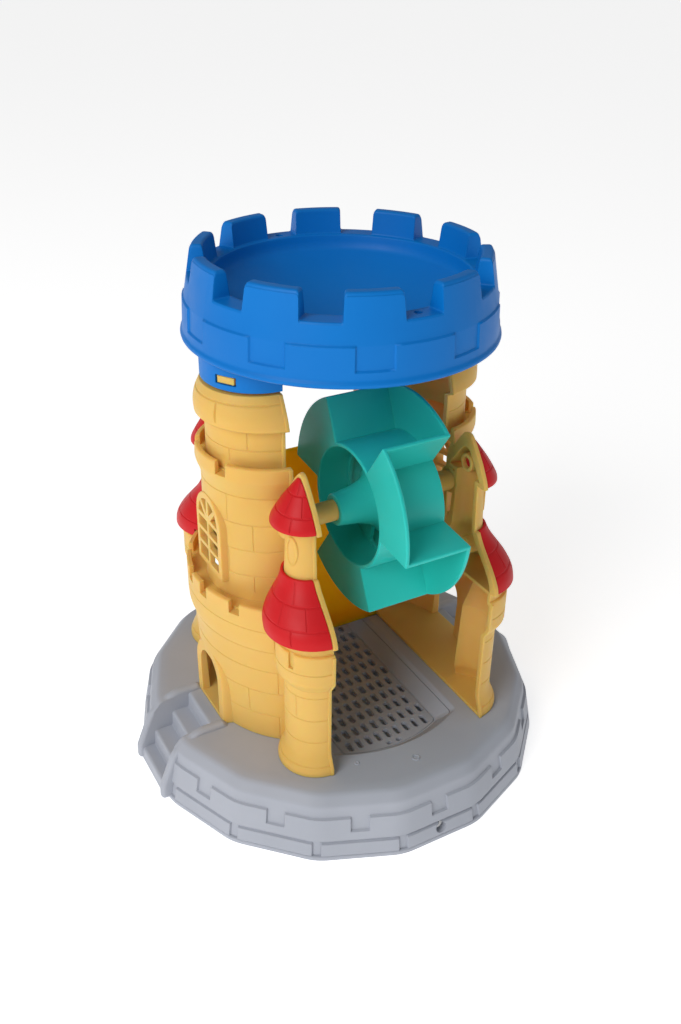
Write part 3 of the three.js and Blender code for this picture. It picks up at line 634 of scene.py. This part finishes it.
def door_frame():
    rings = []
    for x, half in ((78, DOOR["half"] + 11), (86.5, DOOR["half"] + 9.5), (89.6, DOOR["half"] + 8.2),
                    (91.8, DOOR["half"] + 7.2), (DOOR["out_x"], DOOR["half"] + 6.2)):
        rings.append([(x, y, z) for y, z in arch(half, DECK_Z + GAP, DOOR["spring"], 24)])
    return lofted(rings)


def window_frame():
    half = WINDOW["half"] + WINDOW["frame"]
    rings = []
    for x, ease in ((72, 0), (WINDOW["out_x"] - 0.9, 0), (WINDOW["out_x"] - 0.25, 0.3), (WINDOW["out_x"], 0.95)):
        rings.append([(x, y, z) for y, z in arch(half - ease, WINDOW["sill"] - WINDOW["frame"] + ease,
                                                 WINDOW["spring"], 24)])
    return lofted(rings)


def window_panes():
    """The openings between the window's glazing bars: two columns of three, and a fan above."""
    half, sill, spring, width = WINDOW["half"], WINDOW["sill"], WINDOW["spring"], WINDOW["bar"]
    pane_h = (spring - sill) / 3
    panes = []
    for row in range(3):
        for side in (-1, 1):
            y0, y1 = sorted((side * width / 2, side * half))
            z0 = sill + row * pane_h + (width / 2 if row else 0)
            z1 = sill + (row + 1) * pane_h - width / 2
            outline = rounded([(y0, z0, 0.7), (y1, z0, 0.7), (y1, z1, 0.7), (y0, z1, 0.7)], steps=3)
            panes.append(extruded(outline, "X", 60, 110))
    for index in range(4):
        a0, a1 = math.pi * index / 4, math.pi * (index + 1) / 4
        middle = (a0 + a1) / 2
        inner_r, outer_r = 4.2, half
        outer = [(outer_r * math.cos(a), outer_r * math.sin(a))
                 for a in (a0 + width / 2 / outer_r + (a1 - a0 - width / outer_r) * k / 6 for k in range(7))]
        apex = (inner_r * math.cos(middle), inner_r * math.sin(middle))
        shift = max(0, width / 2 - apex[1]) if index in (0, 3) else 0
        outline = [(y, spring + max(z, width / 2) + shift) for y, z in [apex] + outer]
        panes.append(extruded(outline, "X", 60, 110))
    return gathered(panes)


def notches(x, r, z, angles, width):
    cells = []
    for degrees in both_sides(angles):
        cell = block((r - 5, -width / 2, z), (r + 5, width / 2, z + 20))
        cell.data.transform(Matrix.Translation((x * MM, 0, 0)) @ Matrix.Rotation(math.radians(degrees), 4, "Z"))
        cells.append(cell)
    return gathered(cells)


PEGS = ((60.5, 154, 77), (TURRET["tip_y"], 209, 68))


def half_tower():
    body = joined(lower_storey(), middle_storey(), keep_storey(), *both_ends(turret_parts(0)))
    outline = copied(body)
    space = storey_spaces()
    space = joined(space[0], *space[1:], *both_ends(turret_parts(WALL)))
    room = common(space, block((CUT_X - 1, -130, DECK_Z + GAP + WALL), (140, 130, 300)))
    body = cut(body, walkways(), copied(room))
    tube_r, tube_top = KEEP_NECK["r"], KEEP_NECK["top"]
    neck = turned(rounded([(tube_r, 260, 0), (tube_r, tube_top, 1), (tube_r - WALL, tube_top, 1), (tube_r - WALL, 260, 0)]),
                  KEEP_NECK["x"], 0, 96, ring=True)
    keep_hole = turned([(0, 255), (tube_r - WALL, 255), (tube_r - WALL, 270), (0, 270)], KEEP_NECK["x"], 0, 96)
    rims = roof_rims()
    bpy.data.objects.remove(rims.pop())
    edges = cut_rim()
    bpy.data.objects.remove(edges.pop())
    bosses = both_ends([bar(ROOF["boss_r"], CUT_X + 0.6, far, y, z, 40, 0.8) for y, z, far in PEGS])
    axle_boss = bar(AXLE_HIGH[2] - AXLE_Z + 2.4, CUT_X, AXLE_HIGH[0] + 2.4, AXLE_Y, AXLE_Z, 48, 0.8)
    fittings = joined(bosses[0], *bosses[1:])
    frames = cut(joined(door_frame(), window_frame()), copied(room))
    flange = joined(rims[0], rims[1], *[mirrored(r, Vector((0, 1, 0))) for r in rims], *edges)
    flange = cut(flange, room)
    body = joined(cut(body, keep_hole), neck, frames, flange, common(fittings, outline), axle_boss, latch_tongues())
    holes = both_ends([bar(ROOF["peg_r"] + GAP, CUT_X - 1, 100, y, z, 24) for y, z, _ in PEGS])
    opening = extruded(arch(DOOR["half"], DECK_Z + GAP + WALL, DOOR["spring"], 24), "X", 70, 110)
    socket = bar(AXLE_HIGH[2] - AXLE_Z + GAP, CUT_X - 1, AXLE_HIGH[0] + GAP, AXLE_Y, AXLE_Z, 48)
    body = cut(body, opening, window_panes(), gathered(holes), socket,
               notches(STOREY_X[0], 72.5, 134.5, (7.5, 29), 7.4), notches(STOREY_X[1], 43, 217, (25,), 7.4))
    return common(body, block((CUT_X, -130, 0), (140, 130, 300)))


def latch_tongues():
    """The tongues on the keep's neck that sit in the hopper's latch windows."""
    tongues = []
    for degrees in both_sides((COLLAR["latch_deg"],)):
        tongue = block((KEEP_NECK["r"] - 1, -5.2, COLLAR["latch_z"] - 1.9), (COLLAR["r"] - 0.7, 5.2, COLLAR["latch_z"] + 1.9))
        tongue.data.transform(Matrix.Translation((KEEP_NECK["x"] * MM, 0, 0))
                              @ Matrix.Rotation(math.radians(degrees), 4, "Z"))
        tongues.append(tongue)
    return gathered(tongues)


# ---- roofs: half-cone shells whose pegs go through the tower's ring bosses ----
def roof(rings, peg):
    y, z, far = peg
    foot, lean = lean_of(rings)
    closed_tip = rings[-1][0] < 5
    outer = roof_body(rings, 0)
    heights = (209, 219) if closed_tip else (147.5, 158)
    profile = roof_profile(rings, 0)
    cutters = []
    for level in heights:
        r = radius_at([p for p in profile if p[0] > 0], level)
        cutters.append(turned([(r + 1.5, level - 1.2), (r + 1.5, level + 1.2), (r - 0.3, level + 0.3),
                               (r - 0.3, level - 0.3)], CUT_X, foot, 80, ring=True, lean=lean, lean_z=rings[0][1]))
    spans = list(zip((rings[0][1] + 1.5,) + heights, heights + (rings[-1][1] - 1,)))
    uprights = []
    for i, (z0, z1) in enumerate(spans):
        for degrees in ((20, 58) if i % 2 else (38,)):
            turn = math.radians(degrees)
            out, side = Vector((math.cos(turn), math.sin(turn))), Vector((-math.sin(turn), math.cos(turn)))
            levels = []
            for level in (z0, (z0 + z1) / 2, z1):
                r = radius_at([p for p in profile if p[0] > 0], level)
                y0 = foot + lean * (level - rings[0][1])
                levels.append([(CUT_X + s.x, y0 + s.y, level) for s in
                               (out * (r + 1.2) + side, out * (r - 0.3) + side * 0.3,
                                out * (r - 0.3) - side * 0.3, out * (r + 1.2) - side)])
            uprights.append(lofted(levels))
    outer = cut(outer, gathered(cutters), gathered(uprights))
    limit = roof_body(rings, 0)
    neck = turned([(0, 145), (TURRET["neck_r"] + GAP, 145), (TURRET["neck_r"] + GAP, 203), (0, 203)], CUT_X,
                  TURRET["neck_y"], 72)
    inner = joined(roof_body(rings, -ROOF["wall"], 100), neck)
    storey_a = turned([(0, 100), (72.8, 100), (72.8, 143.3), (0, 143.3)], STOREY_X[0], 0, 128)
    storey_b = turned([(0, 100), (40.8, 100), (40.8, 205), (43.8, 217), (43.5, 224.8), (0, 224.8)], STOREY_X[1], 0, 112)
    shell = cut(outer, inner, storey_a, storey_b)
    shell = common(shell, block((CUT_X + ROOF["rim"] + GAP, 0, 100), (140, 130, 260)))
    pin = common(bar(ROOF["peg_r"], CUT_X + 2.6, far, y, z, 32, 0.8), limit)
    return joined(shell, pin)


# ---- back panel and axle ----
def back_panel():
    (x0, y0, z0), (x1, y1, z1) = PANEL_LOW, PANEL_HIGH
    sheet_y = y0 + 2.6
    sheet = extruded([(x0, z0), (x1, z0), (x1, z1), (x0, z1)], "Y", y0, sheet_y)
    foot = block((x0, y0, z0), (x1, y1, 56))
    return eased(joined(eased(sheet, 0.7), foot), 0.5, 2)


def wheel_axle():
    return bar(AXLE_HIGH[2] - AXLE_Z, AXLE_LOW[0], AXLE_HIGH[0], AXLE_Y, AXLE_Z, 64, 1.2)


# ---- wheel ----
WHEEL = {"drum_r": 37.5, "skin": 2.4, "paddles": 6, "tip_deg": 5, "hub_root": 15, "hub_end": 9.5}


def about_axle(profile, segments=96, ring=False):
    """A body turned about the axle from (r, x) pairs."""
    def column(k):
        turn = 2 * math.pi * k / segments
        return lambda r, x: (x, AXLE_Y + r * math.cos(turn), AXLE_Z + r * math.sin(turn))
    return swept(profile, [column(k) for k in range(segments)], ring)


def kidney(middle_deg, span_deg=58):
    turns = [math.radians(middle_deg + span_deg * k / 10) for k in range(-10, 11)]
    outer = [(AXLE_Y + 33.5 * math.cos(t), AXLE_Z + 33.5 * math.sin(t)) for t in turns]
    inner = [(AXLE_Y + 15.5 * math.cos(t), AXLE_Z + 15.5 * math.sin(t)) for t in reversed(turns)]
    corners = [(y, z, 5 if i in (0, 20) else 0) for i, (y, z) in enumerate(outer)]
    corners += [(y, z, 5 if i in (0, 20) else 0) for i, (y, z) in enumerate(inner)]
    return rounded(corners)


def water_wheel():
    low = -42.6 / 2 + (WHEEL_LOW[0] + WHEEL_HIGH[0]) / 2
    high = low + 42.6
    middle = (low + high) / 2
    radius = (WHEEL_HIGH[2] - WHEEL_LOW[2]) / 2
    drum_r, skin = WHEEL["drum_r"], WHEEL["skin"]
    drum = about_axle(rounded([(drum_r, low, 0.9), (drum_r, high, 0.9), (drum_r - skin, high, 0.9),
                               (drum_r - skin, low, 0.9)]), 120, ring=True)
    web = cut(about_axle([(0, middle - skin / 2), (drum_r - 1, middle - skin / 2), (drum_r - 1, middle + skin / 2),
                          (0, middle + skin / 2)], 120),
              *[extruded(kidney(a), "X", middle - 10, middle + 10) for a in (44, 224)])
    cone = [(0, WHEEL_LOW[0]), (WHEEL["hub_end"] - 0.8, WHEEL_LOW[0]), (WHEEL["hub_end"], WHEEL_LOW[0] + 0.8),
            (11, low + 4), (13.4, middle - 9), (16.5, middle - 4), (21, middle - skin / 2),
            (21, middle + skin / 2), (16.5, middle + 4), (13.4, middle + 9), (11, high - 4),
            (WHEEL["hub_end"], WHEEL_HIGH[0] - 0.8), (WHEEL["hub_end"] - 0.8, WHEEL_HIGH[0]), (0, WHEEL_HIGH[0])]
    hub = about_axle(cone, 64)
    pieces = []
    for i in range(WHEEL["paddles"]):
        turn = math.radians(WHEEL["tip_deg"] + 360 / WHEEL["paddles"] * i)
        out, side = Vector((math.cos(turn), math.sin(turn))), Vector((-math.sin(turn), math.cos(turn)))
        edges = [out * (drum_r - 1) - side * skin / 2, out * radius - side * skin / 2,
                 out * radius + side * skin / 2, out * (drum_r - 1) + side * skin / 2]
        blade = extruded([(AXLE_Y + e.x, AXLE_Z + e.y) for e in edges], "X", low, high)
        sector = [(AXLE_Y + radius * math.cos(turn + a), AXLE_Z + radius * math.sin(turn + a))
                  for a in (math.pi / 3 * k / 20 for k in range(21))]
        inner = [(AXLE_Y + (drum_r - 1) * math.cos(turn + a), AXLE_Z + (drum_r - 1) * math.sin(turn + a))
                 for a in (math.pi / 3 * k / 20 for k in range(20, -1, -1))]
        x0, x1 = (low, low + skin) if i % 2 == 0 else (high - skin, high)
        cheek = extruded(sector + inner, "X", x0, x1)
        pieces += [eased(blade, 0.8), eased(cheek, 0.8)]
    body = joined(drum, web, hub, *pieces)
    return cut(body, bar(AXLE_HIGH[2] - AXLE_Z + GAP, WHEEL_LOW[0] - 9, WHEEL_HIGH[0] + 9, AXLE_Y, AXLE_Z, 64))


# ---- hopper: battlement ring, dish with a central outlet, and two collars ----
def merlon_columns():
    """Steps round the hopper: (angle, height above the crenels' floor, brick relief)."""
    full = TOP_Z - HOPPER["crenel_z"]
    half = math.radians(HOPPER["merlon_deg"] / 2)
    radius = 85
    side = ((-1.9, full), (-1.2, full - 0.15), (-0.65, full - 0.6), (-0.3, full - 1.2), (-0.1, full - 1.9),
            (0.35, 1.2), (0.5, 0.5), (0.9, 0.12), (1.4, 0))
    notch = math.radians(6.5)
    plain = [(a, full) for a in (0, math.radians(2.2), math.radians(4.4), notch - 0.4 / 88, notch + 0.4 / 88)]
    flanks = [(half + s / radius, h) for s, h in side]
    quarter = math.pi / HOPPER["merlons"]
    gap = [(half + (quarter - half) * t, 0) for t in (0.4, 0.7, 1)]
    steps = []
    for angle, height in plain + flanks + gap:
        steps.append((angle, height, 0 if angle < notch else 1))
    around = []
    for k in range(HOPPER["merlons"]):
        middle = 2 * quarter * k
        around += [(middle - a, h, b) for a, h, b in reversed(steps[1:-1])]
        around += [(middle + a, h, b) for a, h, b in steps]
    return around


def ring_profile(height, brick):
    """The hopper's section where the wall stands this high above the crenels' floor."""
    full = TOP_Z - HOPPER["crenel_z"]
    floor = HOPPER["crenel_z"]
    top = floor + height
    rise = height / full
    flange = HOPPER["flange_z"]
    band = 1.0
    outer = [(88.2, flange), (89.6, flange + 0.2), (90.4, flange + 0.9), (90.6, flange + 1.8), (90.4, flange + 2.7),
             (89.9, flange + 3.4), (88.4 + band, flange + 4), (88.2 + band, flange + 5)]
    outer += [(88.15 + band, 291.4), (88.1 + band * brick, 292.3), (87.55 + band * brick, 304.3), (87.5, 305.2)]
    wall_at = lambda z: 87.5 - (z - 304.7) * 0.179
    ease = 0.9 + 0.9 * rise
    levels = [floor - 6, floor - 3 + 0.4 * rise * (top - floor), top - ease - 0.2]
    outer += [(wall_at(z), z) for z in levels]
    outer += [(wall_at(top) - ease * (1 - math.cos(t)), top - ease * (1 - math.sin(t)))
              for t in (math.pi / 6 * k for k in range(0, 4))]
    inner_r = 74.5 + 1.5 * rise
    inner_ease = 0.2 + 1.4 * rise
    inner = [(inner_r + inner_ease * (1 - math.sin(t)), top - inner_ease * (1 - math.cos(t)))
             for t in (math.pi / 6 * k for k in range(0, 4))]
    inner += [(inner_r - 1.3 * rise * 0.93, floor + 0.9 * rise + 0.004), (74.3, floor + 0.12 * rise), (73.9, floor)]
    return outer + inner


DISH = ((72.6, 315.2), (72.2, 312.4), (71.8, 309.2), (69.8, 306.4), (60, 301.5), (50, 297.4), (40, 294), (30, 291.4),
        (20, 289.5), (12.2, 288.4))


def battlement_hopper():
    skin, flange = 2.2, HOPPER["flange_z"]
    bore, pipe = OUTLET["r"], OUTLET["r"] + OUTLET["wall"]
    dish = [(73.3, HOPPER["crenel_z"] - 0.15), (72.7, HOPPER["crenel_z"] - 0.6)] + list(DISH)
    mouth = [(8.6, 288), (7.2, 287.3), (bore, 286), (bore, OUTLET["bottom"]), (pipe, OUTLET["bottom"]), (pipe, 284.6)]
    under = [(r + 0.3, z - skin) for r, z in reversed(DISH[4:])]
    under += [(72, 304.8), (73.8, 306.8), (74.4, 313.6), (82.6, 313.6), (84.4, 304), (85.6, 289), (86.4, flange + 2.5),
              (86.9, flange)]
    columns = merlon_columns()
    points, faces = [], []
    for angle, height, brick in columns:
        for r, z in ring_profile(height, brick) + dish + mouth + under:
            points.append((r * math.cos(angle), r * math.sin(angle), z))
    rows = len(points) // len(columns)
    for k in range(len(columns)):
        here, on = k * rows, (k + 1) % len(columns) * rows
        for i in range(rows):
            j = (i + 1) % rows
            faces.append([here + i, on + i, on + j, here + j])
    ring = made(points, faces)
    ring = joined(ring, hopper_collar(1), hopper_collar(-1))
    drains = [turned([(0, 305), (2.2, 305), (2.2, 320), (0, 320)], 0, y, 24) for y in (-78, 78)]
    return cut(ring, gathered(drains))


def hopper_collar(side):
    """The half-round collar that drops over the neck of one tower, with its latch windows."""
    r, bottom, thick = COLLAR["r"], COLLAR["bottom"], COLLAR["thick"]
    tube = turned(rounded([(r, bottom, 0.9), (r, 300, 0), (r - thick, 300, 0), (r - thick, bottom, 0.9)]),
                  COLLAR["x"], 0, 96, ring=True)
    windows = []
    for degrees in both_sides((COLLAR["latch_deg"],)):
        cell = block((r - 7, -6.5, COLLAR["latch_z"] - 2.5), (r + 7, 6.5, COLLAR["latch_z"] + 2.5))
        cell.data.transform(Matrix.Translation((COLLAR["x"] * MM, 0, 0))
                            @ Matrix.Rotation(math.radians(degrees), 4, "Z"))
        windows.append(cell)
    shape = cut(common(tube, block((CUT_X, -60, 250), (120, 60, 320))), gathered(windows))
    shape = cut(shape, turned([(0, 292)] + [(r, z - 1) for r, z in reversed(DISH)] + [(90, 315), (90, 340), (0, 340)]))
    if side > 0:
        return shape
    twin = mirrored(shape, Vector((1, 0, 0)))
    bpy.data.objects.remove(shape)
    return twin


# ---- materials ----
def plastic(name, colour, shade, roughness, glow=0, glow_radius=(1, 0.5, 0.2), coat=0.1):
    """Moulded plastic: soft mottling, edges rounded in shading by a bevel normal, a fine skin and, if asked, light
    inside.
    """
    material = bpy.data.materials.new(name)
    material.use_nodes = True
    nodes, links = material.node_tree.nodes, material.node_tree.links
    shader = nodes["Principled BSDF"]
    place = nodes.new("ShaderNodeTexCoord")

    def noise(scale, detail):
        node = nodes.new("ShaderNodeTexNoise")
        node.inputs["Scale"].default_value = scale
        node.inputs["Detail"].default_value = detail
        links.new(place.outputs["Object"], node.inputs["Vector"])
        return node

    def ramp(source, low, high):
        node = nodes.new("ShaderNodeMapRange")
        node.inputs["From Min"].default_value, node.inputs["From Max"].default_value = 0.3, 0.7
        node.inputs["To Min"].default_value, node.inputs["To Max"].default_value = low, high
        links.new(source, node.inputs["Value"])
        return node.outputs["Result"]

    cloud, grain = noise(14, 3), noise(420, 2)
    mix = nodes.new("ShaderNodeMix")
    mix.data_type = "RGBA"
    mix.inputs["A"].default_value, mix.inputs["B"].default_value = (*colour, 1), (*shade, 1)
    links.new(ramp(cloud.outputs["Fac"], 0, 1), mix.inputs["Factor"])
    links.new(mix.outputs["Result"], shader.inputs["Base Color"])
    links.new(ramp(noise(60, 4).outputs["Fac"], roughness - 0.05, roughness + 0.07), shader.inputs["Roughness"])
    bevel = nodes.new("ShaderNodeBevel")
    bevel.samples = 4
    bevel.inputs["Radius"].default_value = 0.0006
    skin = nodes.new("ShaderNodeBump")
    skin.inputs["Strength"].default_value = 0.12
    skin.inputs["Distance"].default_value = 0.0002
    links.new(grain.outputs["Fac"], skin.inputs["Height"])
    links.new(bevel.outputs["Normal"], skin.inputs["Normal"])
    links.new(skin.outputs["Normal"], shader.inputs["Normal"])
    shader.inputs["Coat Weight"].default_value = coat
    shader.inputs["Coat Roughness"].default_value = 0.25
    shader.inputs["IOR"].default_value = 1.49
    shader.inputs["Specular IOR Level"].default_value = 0.18
    if glow:
        shader.inputs["Subsurface Weight"].default_value = glow
        shader.inputs["Subsurface Radius"].default_value = glow_radius
        shader.inputs["Subsurface Scale"].default_value = 0.006
    return material


def srgb(*levels):
    """Screen levels from 0 to 255 as linear colour."""
    return tuple((c / 255 / 12.92) if c <= 10 else ((c / 255 + 0.055) / 1.055) ** 2.4 for c in levels)


PLASTICS = {
    "grey_plastic": plastic("grey_plastic", srgb(178, 182, 192), srgb(170, 174, 184), 0.5, coat=0),
    "yellow_plastic": plastic("yellow_plastic", srgb(232, 189, 106), srgb(226, 181, 94), 0.45, 0.5, (1, 0.42, 0.12), coat=0),
    "amber_plastic": plastic("amber_plastic", srgb(255, 184, 6), srgb(252, 174, 4), 0.5, 1, (2.4, 1.3, 0.15), coat=0),
    "red_plastic": plastic("red_plastic", srgb(212, 34, 40), srgb(202, 26, 32), 0.42, 0.1, (1, 0.1, 0.1), coat=0),
    "teal_plastic": plastic("teal_plastic", srgb(48, 202, 192), srgb(40, 188, 178), 0.34, 0.2, (0.2, 1, 0.9), coat=0.1),
    "blue_plastic": plastic("blue_plastic", srgb(4, 120, 204), srgb(2, 112, 196), 0.44, coat=0),
}


# ---- the assembly ----
def finished(thing, name, slot, *nodes, body="mill"):
    thing.name = thing.data.name = name
    thing.data.shade_smooth()
    thing.data.set_sharp_from_angle(angle=math.radians(34))
    weighted = thing.modifiers.new("weighted", "WEIGHTED_NORMAL")
    weighted.keep_sharp = True
    thing.data.materials.clear()
    thing.data.materials.append(PLASTICS[slot])
    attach(thing, body)
    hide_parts(*nodes)


finished(mill_base(), "mill_base", "grey_plastic", "base")
finished(basin_sieve(), "basin_sieve", "grey_plastic", "sieve_plate")
finished(back_panel(), "back_panel", "amber_plastic", "rear_panel")
finished(wheel_axle(), "wheel_axle", "yellow_plastic", "axle")
finished(water_wheel(), "water_wheel", "teal_plastic", "paddle_wheel", body="wheel")
finished(battlement_hopper(), "battlement_hopper", "blue_plastic", "hopper")

ALONG_X, ALONG_Y = Vector((1, 0, 0)), Vector((0, 1, 0))
wall = half_tower()
finished(mirrored(wall, ALONG_X), "tower_left", "yellow_plastic", "left_tower")
finished(wall, "tower_right", "yellow_plastic", "right_tower")
for size, rings, peg in (("lower", BIG_ROOF, PEGS[0]), ("upper", SMALL_ROOF, PEGS[1])):
    back = roof(rings, peg)
    front = mirrored(back, ALONG_Y)
    finished(mirrored(back, ALONG_X), f"roof_{size}_left_back", "red_plastic", f"left_back_{size}_roof")
    finished(mirrored(front, ALONG_X), f"roof_{size}_left_front", "red_plastic", f"left_front_{size}_roof")
    finished(back, f"roof_{size}_right_back", "red_plastic", f"right_back_{size}_roof")
    finished(front, f"roof_{size}_right_front", "red_plastic", f"right_front_{size}_roof")


# ---- floor, light and camera ----
def stage_floor():
    reach = 40000
    floor = made([(-reach, -reach, -0.1), (reach, -reach, -0.1), (reach, reach, -0.1), (-reach, reach, -0.1)],
                 [[0, 1, 2, 3]])
    floor.name = "floor"
    floor.data.flip_normals()
    paper = bpy.data.materials.new("paper")
    paper.use_nodes = True
    shader = paper.node_tree.nodes["Principled BSDF"]
    shader.inputs["Base Color"].default_value = (0.9, 0.9, 0.9, 1)
    shader.inputs["Roughness"].default_value = 0.9
    shader.inputs["Emission Color"].default_value = (1, 1, 1, 1)
    place = paper.node_tree.nodes.new("ShaderNodeTexCoord")
    length = paper.node_tree.nodes.new("ShaderNodeVectorMath")
    length.operation = "LENGTH"
    # Emission is zero under the base and ramps to an even glow just inside its edge: painted shade under the base, a
    # glowing floor around it
    glow = paper.node_tree.nodes.new("ShaderNodeMapRange")
    glow.inputs["From Min"].default_value, glow.inputs["From Max"].default_value = 0.115, 0.13
    glow.inputs["To Min"].default_value, glow.inputs["To Max"].default_value = 0, 0.62
    paper.node_tree.links.new(place.outputs["Object"], length.inputs[0])
    paper.node_tree.links.new(length.outputs["Value"], glow.inputs["Value"])
    paper.node_tree.links.new(glow.outputs["Result"], shader.inputs["Emission Strength"])
    floor.data.materials.append(paper)


def area_light(name, place, aim, size, power, colour=(1, 1, 1)):
    data = bpy.data.lights.new(name, "AREA")
    data.shape, data.size, data.energy, data.color = "DISK", size, power, colour
    lamp = bpy.data.objects.new(name, data)
    lamp.location = place
    lamp.rotation_euler = (Vector(aim) - Vector(place)).to_track_quat("-Z", "Y").to_euler()
    bpy.context.scene.collection.objects.link(lamp)


def studio():
    world = bpy.data.worlds.new("studio")
    bpy.context.scene.world = world
    world.use_nodes = True
    world.node_tree.nodes["Background"].inputs["Color"].default_value = (1, 1, 1, 1)
    world.node_tree.nodes["Background"].inputs["Strength"].default_value = 0.3
    area_light("window", (-1.35, -0.63, 1.2), (0, 0, 0.15), 1.1, 17)
    bpy.context.scene.view_settings.view_transform = "Standard"
    bpy.context.scene.view_settings.look = "None"


CAMERA = {"azimuth": -29.51, "elevation": 30.19, "roll": 0.84, "distance": 733, "shift": (3.35, 139.24),
          "focal": 1038.3}


def camera():
    """The photograph's viewpoint: a turn about the object, then a slide in the picture's plane."""
    turn, rise, roll = (math.radians(CAMERA[k]) for k in ("azimuth", "elevation", "roll"))
    back = Vector((math.sin(turn) * math.cos(rise), -math.cos(turn) * math.cos(rise), math.sin(rise)))
    flat = Vector((math.cos(turn), math.sin(turn), 0))
    upright = back.cross(flat)
    right = flat * math.cos(roll) + upright * math.sin(roll)
    up = upright * math.cos(roll) - flat * math.sin(roll)
    data = bpy.data.cameras.new("camera")
    data.sensor_fit, data.sensor_height = "VERTICAL", 36
    data.lens = CAMERA["focal"] * 36 / 1024
    data.clip_start, data.clip_end = 0.05, 20
    eye = bpy.data.objects.new("camera", data)
    place = (back * CAMERA["distance"] + right * CAMERA["shift"][0] + up * CAMERA["shift"][1]) * MM
    eye.matrix_world = Matrix.Translation(place) @ Matrix((right, up, back)).transposed().to_4x4()
    bpy.context.scene.collection.objects.link(eye)
    bpy.context.scene.camera = eye


stage_floor()
studio()
camera()
